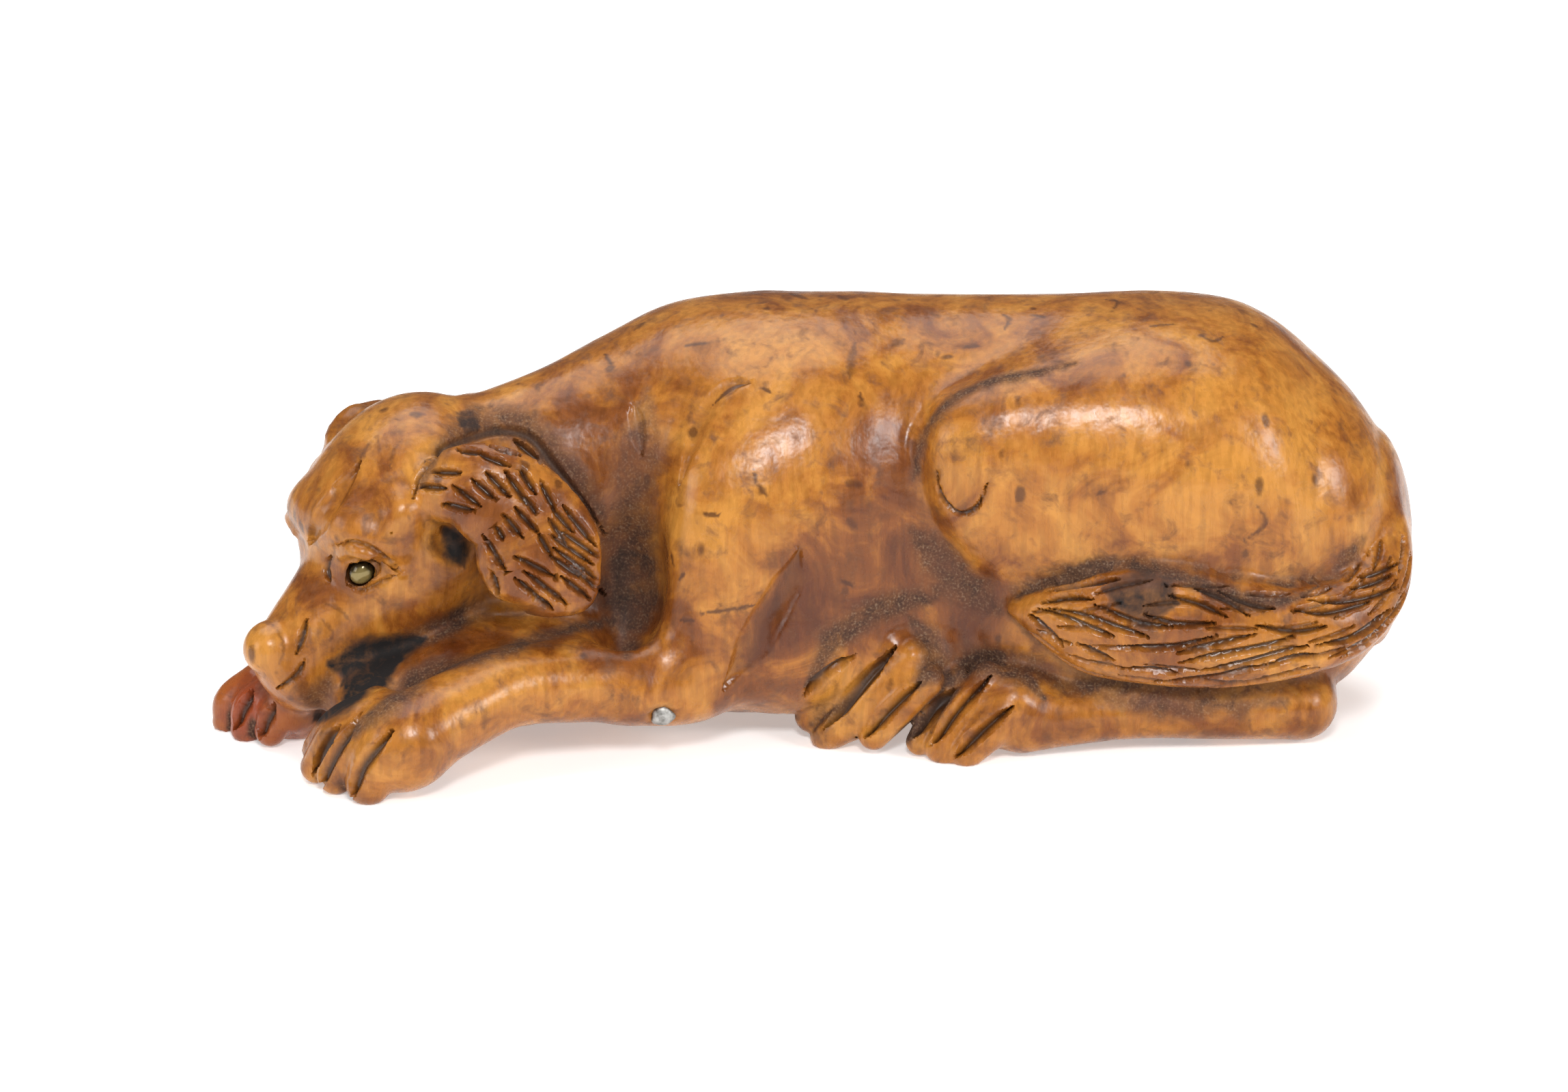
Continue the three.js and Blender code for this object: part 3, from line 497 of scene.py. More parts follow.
# Points of x and z, carried in from the far side
def farOnSkin(rows):
    starts = np.array([(x, raySet["farStart"], z) for x, z in rows])
    rays = np.tile((0.0, -1.0, 0.0), (len(starts), 1))
    return firstOnSkin(starts, rays, np.arange(0, raySet["farWay"], raySet["step"]))


# Upper eyelids: a thin roll on the skin along a line of the picture, and its twin on the head's other side
upperLid = {"line": [(500, 813), (514, 806), (533, 808), (556, 823), (590, 840)],
            "half": [0.4, 0.65, 0.75, 0.6, 0.3], "flat": 0.8, "blend": 0.5}
lidOnHead = (seenOnSkin(upperLid["line"]) - np.array(headSet["centre"])) @ headAxes.T
lidRows = np.column_stack([lidOnHead, upperLid["half"], upperLid["flat"] * np.array(upperLid["half"])])
forms += [headLimb(lidRows, sign, ref=crown, blend=upperLid["blend"]) for sign in (1, -1)]


# Strokes are drawn as the camera sees them: a corner of the picture, a zoom, then lines of points there.
# Widths, at the start and the end, and depth are in mm; over lengthens a straight line by that share; each
# stroke's dark value is how dark a cut's floor is painted, dirt and painted shade together
strokeSet = {"spanSteps": 6, "straightPoints": 9, "taper": 3.2, "tip": 0.1, "dirtAndShade": 0.9}


# The strokes of one sheet: its lines made dense, brought to the picture and set on the skin
def strokesOf(sheet):
    lines, sizes = [], []
    for line in sheet["lines"]:
        over = sheet.get("over", 0.0) * (np.array(line[-1], float) - line[0])
        if len(line) > 2:
            dense = smoothRows(line, strokeSet["spanSteps"])
        else:
            dense = np.linspace(line[0] - over, line[1] + over, strokeSet["straightPoints"])
        lines.append(np.array(sheet.get("corner", (0, 0))) + dense / sheet.get("zoom", 1.0))
        sizes.append(len(dense))
    skin = np.split(seenOnSkin(np.vstack(lines)), np.cumsum(sizes)[:-1])
    width = sheet["width"] if isinstance(sheet["width"], tuple) else (sheet["width"], sheet["width"])
    dirtAndShade = sheet.get("dirtAndShade", strokeSet["dirtAndShade"])
    return [dict(points=line, width=width, depth=sheet["depth"], dirtAndShade=dirtAndShade) for line in skin]


# All the strokes of some sheets
def drawn(sheets):
    return [stroke for sheet in sheets for stroke in strokesOf(sheet)]


# How far a point lies inside a stroke: 0 at its edge, 1 on its line, narrowing towards the stroke's ends
def strokeShare(p, stroke, spread=1.0):
    line, (first, last) = stroke["points"], stroke["width"]
    share, reach = np.zeros(len(p)), max(first, last) * spread
    close = np.flatnonzero(np.all((p > line.min(0) - reach) & (p < line.max(0) + reach), axis=1))
    if len(close) == 0:
        return share
    best, span, part = nearestOnLine(p[close], line)
    way = (span + part) / (len(line) - 1)
    taper = np.clip(strokeSet["taper"] * np.minimum(way, 1 - way) + strokeSet["tip"], 0, 1)
    share[close] = np.clip(1 - np.sqrt(best) / (spread * taper * (first + (last - first) * way)), 0, 1)
    return share


# Parts of the picture that the sheets are drawn on
headPart = {"corner": (300, 540), "zoom": 2.376}
flankPart = {"corner": (860, 420), "zoom": 2.375}
haunchPart = {"corner": (1280, 410), "zoom": 1.936}
tailPart = {"corner": (1140, 800), "zoom": 1.65}
# Gouge cuts of the ear, the tail, the paws and the face, then the shallow hollows between forms
earCuts = {**headPart, "width": 0.42, "depth": 0.6, "over": 0.18, "lines": [
    [(885, 280), (960, 290)], [(960, 295), (1048, 332)], [(985, 262), (1082, 294)],
    [(1085, 255), (1165, 325)], [(800, 358), (882, 361)], [(750, 410), (828, 416)],
    [(870, 415), (948, 472)], [(935, 390), (1002, 448)], [(985, 365), (1055, 440)],
    [(1055, 370), (1122, 470)], [(1100, 350), (1146, 425)], [(830, 475), (922, 492)],
    [(1120, 450), (1152, 502)], [(1175, 400), (1215, 480)], [(1085, 490), (1152, 562)],
    [(1045, 515), (1096, 576)], [(1012, 552), (1036, 592)], [(1205, 530), (1256, 602)],
    [(1215, 490), (1276, 560)], [(1260, 490), (1350, 600)], [(975, 595), (1036, 692)],
    [(1090, 660), (1200, 716)], [(1165, 580), (1200, 640)], [(1220, 590), (1330, 666)],
    [(1250, 570), (1365, 648)], [(1130, 720), (1246, 812)], [(1215, 660), (1300, 722)],
    [(1230, 635), (1362, 728)], [(1255, 735), (1332, 796)], [(1090, 740), (1160, 802)],
    [(1000, 720), (1016, 782)], [(1280, 690), (1376, 772)], [(1140, 790), (1200, 832)]]}
tailCuts = {**tailPart, "width": 0.42, "depth": 0.6, "lines": [
    [(640, 134), (690, 124), (760, 128)], [(628, 150), (700, 175), (770, 205), (812, 220)],
    [(598, 160), (645, 200), (690, 245)], [(650, 150), (740, 168), (830, 200), (900, 222)],
    [(715, 232), (770, 260), (812, 276)], [(640, 110), (740, 90), (830, 76)],
    [(760, 140), (870, 185), (960, 198)], [(825, 296), (900, 300), (972, 310)],
    [(820, 242), (900, 246), (980, 240), (1060, 216)], [(880, 165), (960, 188), (1060, 186)],
    [(940, 118), (1020, 140), (1082, 170)], [(1000, 98), (1080, 128), (1140, 170)],
    [(1060, 104), (1140, 138), (1200, 150)], [(960, 260), (1060, 236), (1150, 214)],
    [(960, 284), (1070, 262), (1180, 240), (1250, 216)],
    [(1020, 300), (1120, 284), (1220, 256), (1280, 240)],
    [(900, 330), (1000, 322), (1100, 308), (1200, 282)],
    [(1000, 345), (1100, 335), (1200, 316), (1290, 286)], [(1150, 190), (1250, 206), (1330, 192)],
    [(1180, 292), (1240, 272), (1310, 262)], [(1240, 150), (1320, 160), (1400, 142), (1440, 130)],
    [(1280, 130), (1370, 130), (1450, 116), (1500, 96)],
    [(1300, 240), (1380, 224), (1440, 186), (1480, 150)],
    [(1330, 270), (1410, 236), (1470, 186), (1508, 130)], [(1380, 100), (1440, 86), (1490, 66)],
    [(1400, 74), (1450, 60), (1500, 40)], [(1450, 210), (1490, 160), (1518, 100)]]}
toeCuts = {**tailPart, "width": (0.6, 0.95), "depth": 0.95, "lines": [
    [(285, 240), (190, 345), (108, 440)], [(345, 325), (270, 392), (206, 462)],
    [(190, 262), (120, 305), (62, 362)], [(515, 312), (430, 400), (366, 480)],
    [(570, 385), (490, 448), (424, 512)], [(430, 340), (370, 400), (322, 462)]]}
frontToeCuts = {**headPart, "width": (0.95, 0.6), "depth": 0.8, "lines": [
    [(650, 1262), (560, 1365), (522, 1440), (512, 1500)],
    [(545, 1195), (470, 1300), (418, 1400), (398, 1474)], [(470, 1240), (415, 1320), (376, 1415)],
    [(165, 1115), (125, 1200), (100, 1255)], [(245, 1165), (205, 1240), (188, 1285)]]}
socketCuts = {"width": (1.6, 0.45), "depth": 0.75, "dirtAndShade": 0.35,
              "lines": [[(517, 830), (548, 829), (588, 838)]]}
lidCuts = {"width": 0.26, "depth": 0.3, "dirtAndShade": 0.55, "lines": [
    [(494, 800), (514, 793), (541, 800), (568, 819), (592, 838)],
    [(508, 856), (530, 864), (556, 853), (590, 839)]]}
faceCuts = {"width": (0.3, 0.45), "depth": 0.42, "lines": [
    [(449, 906), (444, 930), (433, 960)], [(402, 1010), (420, 1001), (437, 986), (447, 966)],
    [(486, 812), (478, 832), (484, 852)]]}
furrowCuts = {"width": (1.0, 1.6), "depth": 0.6, "dirtAndShade": 0.0,
              "lines": [[(528, 676), (494, 724), (470, 756), (452, 796)]]}
edgeCuts = {"width": 0.6, "depth": 0.5, "dirtAndShade": 0.7, "lines": [
    [(606, 730), (612, 700), (640, 665), (690, 640), (735, 630), (776, 641), (812, 684), (856, 738),
     (888, 786)]]}
seamCuts = {**flankPart, "width": 0.7, "depth": 0.3, "dirtAndShade": 0.2, "lines": [
    [(160, 400), (175, 480), (190, 590)]]}
elbowCuts = {**flankPart, "width": (1.3, 2.0), "depth": 0.55, "dirtAndShade": 0.25, "lines": [
    [(745, 905), (705, 1010), (645, 1120), (565, 1260), (475, 1400)]]}
shoulderCuts = {**flankPart, "width": (1.2, 0.8), "depth": 0.28, "dirtAndShade": 0.12, "lines": [
    [(318, 690), (376, 520), (428, 408), (500, 346), (570, 330)]]}
knotCuts = {**haunchPart, "width": 0.3, "depth": 0.4, "lines": [
    [(178, 545), (190, 612), (240, 662), (294, 640), (326, 565)]]}
# Rows of cuts on the hidden far ear, every other row staggered: shares of the way, angles in radians
farEarRows = {"starts": (0.08, 0.28, 0.5, 0.72), "length": 0.2, "angles": np.linspace(-1.0, 1.0, 5),
              "stagger": 0.2, "closing": 0.9}
farEarCuts = [dict(points=farEar.skin(np.linspace(start, start + farEarRows["length"], 7),
                                      np.linspace(farEarRows["closing"] * angle, angle, 7)),
                   width=(0.4, 0.4), depth=0.5, dirtAndShade=0.8)
              for row, start in enumerate(farEarRows["starts"])
              for angle in farEarRows["angles"] + farEarRows["stagger"] * (row % 2)]
# Plain creases round the far haunch and behind the far shoulder
farCreases = [dict(points=farOnSkin(smoothRows(line, 8)), width=(0.9, 1.6), depth=0.55, dirtAndShade=0.35)
              for line in ([(30, 29), (21, 28), (13.5, 23), (10.5, 15), (11.5, 7)],
                           [(-3, 29), (-10, 23.5), (-12.5, 17), (-12, 11)])]
# Fine locks between the long cuts of the tail, in staggered rows that close up towards its tip
tailRows = {"first": 0.1, "last": 0.87, "length": 0.1, "apart": 0.118, "stagger": 0.035,
            "angles": np.radians(np.linspace(-60, 60, 6)), "closing": 0.85}
tailLocks = [dict(points=tail.skin(np.linspace(start, start + tailRows["length"], 7),
                                   math.pi + np.linspace(angle, tailRows["closing"] * angle, 7)),
                  width=(0.34, 0.24), depth=0.36, dirtAndShade=0.55)
             for row, angle in enumerate(tailRows["angles"])
             for start in np.arange(tailRows["first"] + tailRows["stagger"] * (row % 3), tailRows["last"],
                                    tailRows["apart"])]
cutSheets = [earCuts, tailCuts, toeCuts, frontToeCuts, socketCuts, lidCuts, faceCuts, furrowCuts, edgeCuts,
             seamCuts, elbowCuts, shoulderCuts, knotCuts]
cuts = drawn(cutSheets) + farEarCuts + farCreases + tailLocks
print("cuts drawn:", len(cuts))

# Dark flecks, lines and knots of the burr
fleckSheets = [
    {**flankPart, "width": 0.26, "depth": 0.85, "lines": [
        [(325, 205), (440, 190)], [(55, 230), (78, 255), (85, 290)], [(580, 620), (588, 680), (625, 730)],
        [(400, 790), (460, 795)], [(600, 345), (640, 370)], [(380, 1138), (500, 1122), (600, 1104)],
        [(320, 1160), (380, 1160)], [(945, 360), (955, 405), (972, 430)], [(320, 1020), (340, 990)],
        [(430, 410), (500, 350), (560, 336)], [(860, 1014), (930, 1040)], [(290, 920), (300, 970)]]},
    {**flankPart, "width": 0.55, "depth": 0.6, "lines": [
        [(930, 195), (918, 260), (908, 325)], [(1055, 205), (1110, 182)], [(600, 700), (618, 725)],
        [(900, 800), (940, 850)], [(890, 682), (960, 690)], [(880, 1060), (910, 1055)],
        [(700, 20), (770, 45)], [(870, 30), (910, 48)], [(165, 150), (200, 120)]]},
    {**haunchPart, "width": 0.3, "depth": 0.7, "lines": [
        [(770, 132), (850, 125)], [(920, 150), (960, 174), (992, 158)], [(1062, 120), (1092, 136)],
        [(650, 55), (690, 62), (672, 90)], [(350, 92), (382, 110), (368, 145)], [(450, 100), (490, 106)],
        [(250, 190), (300, 186)], [(190, 220), (226, 216)],
        [(1085, 640), (1110, 690), (1042, 745)], [(630, 605), (660, 598)]]},
    {**headPart, "width": 0.7, "depth": 0.8, "lines": [
        [(885, 200), (930, 190), (960, 205)], [(860, 600), (890, 660)], [(815, 545), (870, 590)]]},
    {"width": 0.24, "depth": 0.5, "lines": [
        [(396, 910), (411, 932), (415, 956), (404, 986)], [(520, 690), (505, 720), (492, 745)],
        [(470, 880), (500, 895), (515, 915)], [(545, 640), (530, 668), (520, 690)],
        [(590, 640), (575, 665), (570, 690)], [(480, 780), (490, 805), (484, 830)],
        [(470, 905), (486, 925), (480, 945)]]},
]
flecks = drawn(fleckSheets)
# Black stain along the mouth, carried on as painted shade into the gap between jaw and foreleg; painted shade
# under the ear's fold and in the hollow behind the ear; a dark patch on the tail
stainAndShadeSheets = [
    {"width": 2.0, "depth": 1.0, "lines": [
        [(625, 934), (570, 955), (525, 972), (478, 972)], [(590, 962), (540, 998), (505, 1030), (458, 1056)],
        [(560, 975), (530, 990), (500, 1004)]]},
    {"width": 2.8, "depth": 0.4, "lines": [[(908, 800), (926, 850), (912, 930)]]},
    {"width": 1.5, "depth": 0.7, "lines": [[(668, 616), (684, 618), (700, 628)]]},
    {"width": 1.3, "depth": 0.9, "lines": [[(650, 772), (668, 800), (682, 832)]]},
    {"width": 2.4, "depth": 0.75, "lines": [[(1615, 862), (1680, 870), (1725, 884)]]},
]
stainAndShadeStrokes = drawn(stainAndShadeSheets)
# Dust and grime rubbed into hollows and along creases, partly painted shade there, darkest in the band in the
# hollow behind the ear
grimeAndShadeSheets = [
    {"width": 2.4, "depth": 0.75, "lines": [
        [(900, 905), (800, 932), (720, 955), (640, 985), (580, 1020), (530, 1060), (498, 1088)]]},
    {"width": (3.6, 5.4), "depth": 0.7, "lines": [[(934, 700), (930, 780), (932, 860), (922, 960)]]},
    {"width": 3.4, "depth": 0.4, "lines": [[(948, 570), (938, 660), (930, 760), (930, 840)]]},
    {"width": 2.2, "depth": 0.6, "lines": [
        [(612, 716), (650, 655), (700, 625), (770, 626), (826, 690), (872, 745), (900, 800)],
        [(690, 612), (720, 600)]]},
    {"width": 1.1, "depth": 0.75, "lines": [
        [(1340, 720), (1346, 655), (1380, 598), (1440, 562), (1530, 543), (1600, 524)],
        [(1480, 884), (1560, 836), (1640, 826), (1720, 840), (1800, 872), (1880, 880), (1936, 856)]]},
    {"width": 2.8, "depth": 0.65, "lines": [[(1330, 770), (1400, 842), (1470, 900)]]},
    {"width": 2.0, "depth": 0.75, "lines": [
        [(1178, 1006), (1230, 930), (1300, 888), (1390, 872)],
        [(1380, 1012), (1430, 975), (1490, 985), (1530, 1024)], [(1330, 900), (1370, 960), (1340, 1010)]]},
    {"width": 1.2, "depth": 0.55, "lines": [[(1540, 985), (1650, 1032), (1800, 1036), (1900, 1020)],
                                            [(1956, 834), (2002, 788)]]},
]
grimeAndShadeStrokes = drawn(grimeAndShadeSheets)

# Net of the skin, in mm: its first step, then the edges wanted on plain wood, paws, face, flecks and cuts
netSet = {
    "step": 0.8, "plain": 0.8, "paws": 0.42, "face": 0.36, "fleck": 0.32, "cut": 0.2,
    "toesFromPalm": (-2.0, 0, 0), "pawReach": 8.0, "faceCentre": (10, 3, -1), "faceReach": 11.0,
    "fleckSpread": 1.6, "cutMargin": 0.4, "tooLong": 1.5, "rounds": 3, "firstSettling": 3, "settling": 2,
    "margin": 2.0, "under": -1.3,
}


# Edge wanted at a point: the finest that any detail near it asks for
def wantedEdge(p):
    wanted = np.full(len(p), netSet["plain"])
    for paw in paws.values():
        middle = np.array(paw["palm"]) + netSet["toesFromPalm"]
        wanted[np.linalg.norm(p - middle, axis=1) < netSet["pawReach"]] = netSet["paws"]
    middle = onHead(netSet["faceCentre"])[0]
    wanted[np.linalg.norm(p - middle, axis=1) < netSet["faceReach"]] = netSet["face"]
    for stroke in flecks:
        wanted[strokeShare(p, stroke, netSet["fleckSpread"]) > 0] = netSet["fleck"]
    for stroke in cuts:
        spread = 1.0 + netSet["cutMargin"] / max(stroke["width"])
        wanted[strokeShare(p, stroke, spread) > 0] = netSet["cut"]
    return wanted


low = np.min([form.low for form in forms], 0) - netSet["margin"]
high = np.max([form.high for form in forms], 0) + netSet["margin"]
low[2] = netSet["under"]
verts, quads = skinNet(low, high, netSet["step"])
tris = cutQuads(verts, quads)
verts = settle(verts, tris, netSet["firstSettling"])
for _ in range(netSet["rounds"]):
    corners = verts[tris]
    longest = np.linalg.norm(corners - np.roll(corners, 1, 1), axis=2).max(1)
    verts, tris = refine(verts, tris, longest > netSet["tooLong"] * wantedEdge(corners.mean(1)))
    verts = settle(verts, tris, netSet["settling"])
print("skin:", len(verts), "points,", len(tris), "triangles")

# Soil and painted shade: ways outwards in mm that tell a hollow and how its painted shade fills it, where the
# darkening of a cut starts and how soon it is full, how steep the edges of the drawn marks are, and the
# redder far front paw
soilAndShadeSet = {
    "ways": (0.7, 1.6, 3.2), "fill": 1.7, "clean": 0.35, "cutDarkFrom": 0.2, "cutDarkOver": 0.5,
    "fleckEdge": 1.8, "stainAndShadeEdge": 1.8, "stainAndShadeSpread": 1.3, "grimeAndShadeEdge": 1.5,
    "redPaw": (-48.5, -1.5, 3.0), "redRadius": 4.0,
}
# How hidden each point is: the mean share by which short ways outwards stay close to the wood
normal = unit(slope(verts, carving(verts)))
hidden = np.mean([np.clip(1 - carving(verts + way * normal) / way, 0, 1) for way in soilAndShadeSet["ways"]], axis=0)
# Gouge cuts: round-bottomed, their floors darkened clear of the edges, with dirt and painted shade
grooveAndShade, cutDepth = np.zeros(len(verts)), np.zeros(len(verts))
for stroke in cuts:
    share = strokeShare(verts, stroke)
    cutDarkShare = np.clip((share - soilAndShadeSet["cutDarkFrom"]) / soilAndShadeSet["cutDarkOver"], 0, 1)
    grooveAndShade = np.maximum(grooveAndShade, stroke["dirtAndShade"] * cutDarkShare)
    cutDepth = np.maximum(cutDepth, stroke["depth"] * share * (2 - share))


# The strongest of some strokes at each point: depth times the share, made steeper and held at 1
def painted(strokes, steep, spread=1.0):
    return np.max([stroke["depth"] * np.minimum(steep * strokeShare(verts, stroke, spread), 1)
                   for stroke in strokes], axis=0)


fleck, grimeAndShade = painted(flecks, soilAndShadeSet["fleckEdge"]), painted(grimeAndShadeStrokes, soilAndShadeSet["grimeAndShadeEdge"])
stainAndShade = painted(stainAndShadeStrokes, soilAndShadeSet["stainAndShadeEdge"], soilAndShadeSet["stainAndShadeSpread"])
# Hollows darkened by how hidden they are: painted shade, merged with the grime
grimeAndShade = np.maximum(grimeAndShade, np.clip(soilAndShadeSet["fill"] * hidden - soilAndShadeSet["clean"], 0, 1))


# A soft round patch: a bell curve of the way from its centre
def patch(centre, radius):
    return np.exp(-((verts - np.array(centre)) ** 2).sum(1) / (2 * radius**2))


# Broad tones of the wood, partly painted light and shade: lighter on the rump and shoulder where highlights
# fall, darker low on the belly, under the jaw and in the hollow behind the ear. Picture point, radius in mm,
# lighter or darker
tonesLightAndShade = [
    (1060, 720, 5.5, 0.7), (1160, 530, 6.0, 0.3), (1620, 700, 8.0, 0.2), (1415, 650, 3.5, 0.7),
    (760, 1010, 4.0, 0.2), (1090, 880, 4.0, 0.1), (620, 860, 4.0, 0.25), (900, 640, 5.0, -0.25),
    (860, 700, 4.0, -0.3), (1250, 850, 5.5, -0.75), (1150, 960, 4.5, -0.75), (540, 640, 4.0, 0.2),
    (930, 860, 4.0, -1.0), (1420, 900, 4.0, -0.8), (450, 880, 3.0, -0.8), (700, 940, 3.0, -1.0),
    (1290, 620, 4.0, -0.6), (1820, 830, 4.5, -0.6), (1980, 700, 4.0, -0.2), (880, 560, 4.0, -0.1),
    (1540, 590, 3.0, -0.5), (1690, 560, 3.5, -0.2), (1840, 560, 5.0, 0.4), (560, 1130, 3.0, 0.2),
    (500, 1000, 2.0, -0.6), (760, 780, 4.5, -0.6), (690, 700, 3.5, -0.35), (370, 948, 2.4, 1.4),
    (1300, 740, 4.5, -0.2), (1890, 690, 5.0, 0.8), (1240, 1010, 3.0, 0.9), (1470, 1060, 3.0, -0.5),
    (1700, 1060, 6.0, -0.2), (600, 930, 3.0, -0.4), (1010, 980, 4.0, -0.4),
]
toneLightAndShade = np.zeros(len(verts))
for (_, _, radius, weight), at in zip(tonesLightAndShade, seenOnSkin([t[:2] for t in tonesLightAndShade])):
    toneLightAndShade += weight * patch(at, radius)
redPaw = patch(soilAndShadeSet["redPaw"], soilAndShadeSet["redRadius"])
skinPaint = {"grimeAndShade": grimeAndShade, "grooveAndShade": grooveAndShade, "stainAndShade": stainAndShade, "fleck": fleck, "toneLightAndShade": toneLightAndShade, "redPaw": redPaw}
verts = verts - normal * cutDepth[:, None]
print("skin cut and soiled")


# One colour function for every finish: an sRGB hex value as linear light
def colour(text):
    parts = [int(text[k:k + 2], 16) / 255 for k in (1, 3, 5)]
    return tuple(c / 12.92 if c <= 0.04045 else ((c + 0.055) / 1.055) ** 2.4 for c in parts) + (1.0,)


# Pattern scale for features of a size in mm: one over the size in metres
def perMm(size):
    return 1.0 / (size * mm)


# Sockets as links, where they are another node's, or as values
def setSockets(tree, node, sockets):
    for key, entry in sockets.items():
        if isinstance(entry, bpy.types.NodeSocket):
            tree.links.new(entry, node.inputs[key])
        else:
            node.inputs[key].default_value = entry


# Adds a node: its sockets, the stops of its colour band, then settings by name
def addNode(tree, kind, sockets=(), stops=(), **settings):
    node = tree.nodes.new("ShaderNode" + kind)
    for key, setting in settings.items():
        setattr(node, key, setting)
    setSockets(tree, node, dict(sockets))
    band = node.color_ramp.elements if stops else ()
    while len(band) < len(stops):
        band.new(0.5)
    for element, (place, shade) in zip(band, stops):
        element.position = place
        element.color = colour(shade) if isinstance(shade, str) else (shade, shade, shade, 1)
    return node


# A new finish with its node tree, its shader and the piece's own coordinates
def newFinish(name):
    material = bpy.data.materials.new(name)
    material.use_nodes = True
    tree = material.node_tree
    place = addNode(tree, "TexCoord").outputs["Object"]
    return material, tree, tree.nodes["Principled BSDF"], place


# Burr wood, carved, oiled and handled to a polish: honey ground with brown clouds, fine upright streaks,
# small dark buds, grey dust in the cuts and hollows and a black stain at the mouth, with painted shade
# darkening the cuts and hollows and painted light and shade in its tones. Sizes are in mm
burr = {
    "pale": "#B57A33", "honey": "#9D6122", "brown": "#784216", "red": "#57290B", "bud": "#3A1B0A",
    "dust": "#6E5A48", "dirtAndShade": "#4A3122", "oldDirtAndShade": "#33211A", "grooveAndShade": "#2B1A10", "stainAndShade": "#15100F",
    "redPaw": "#86381C", "figure": 6.0, "cloud": 2.0, "streak": 0.55, "speck": 0.2, "tooling": 2.4,
    "budSize": 2.3,
}
burrPatterns = {
    "figure": {"Detail": 7.0, "Roughness": 0.62, "Distortion": 0.9},
    "cloud": {"Detail": 5.0, "Roughness": 0.65, "Distortion": 0.5},
    "streak": {"Detail": 4.0}, "speck": {"Detail": 1.0}, "tooling": {"Detail": 3.0},
}
# What was drawn on the skin: the pattern that frays its edge, by how much, its start, its full and its most
burrDrawn = {"fleck": ("streak", 0.5, 0.35, 1.0, 0.8), "grimeAndShade": ("cloud", 1.3, 0.66, 1.5, 0.94),
             "stainAndShade": ("cloud", 1.2, 0.7, 1.6, 1.0)}


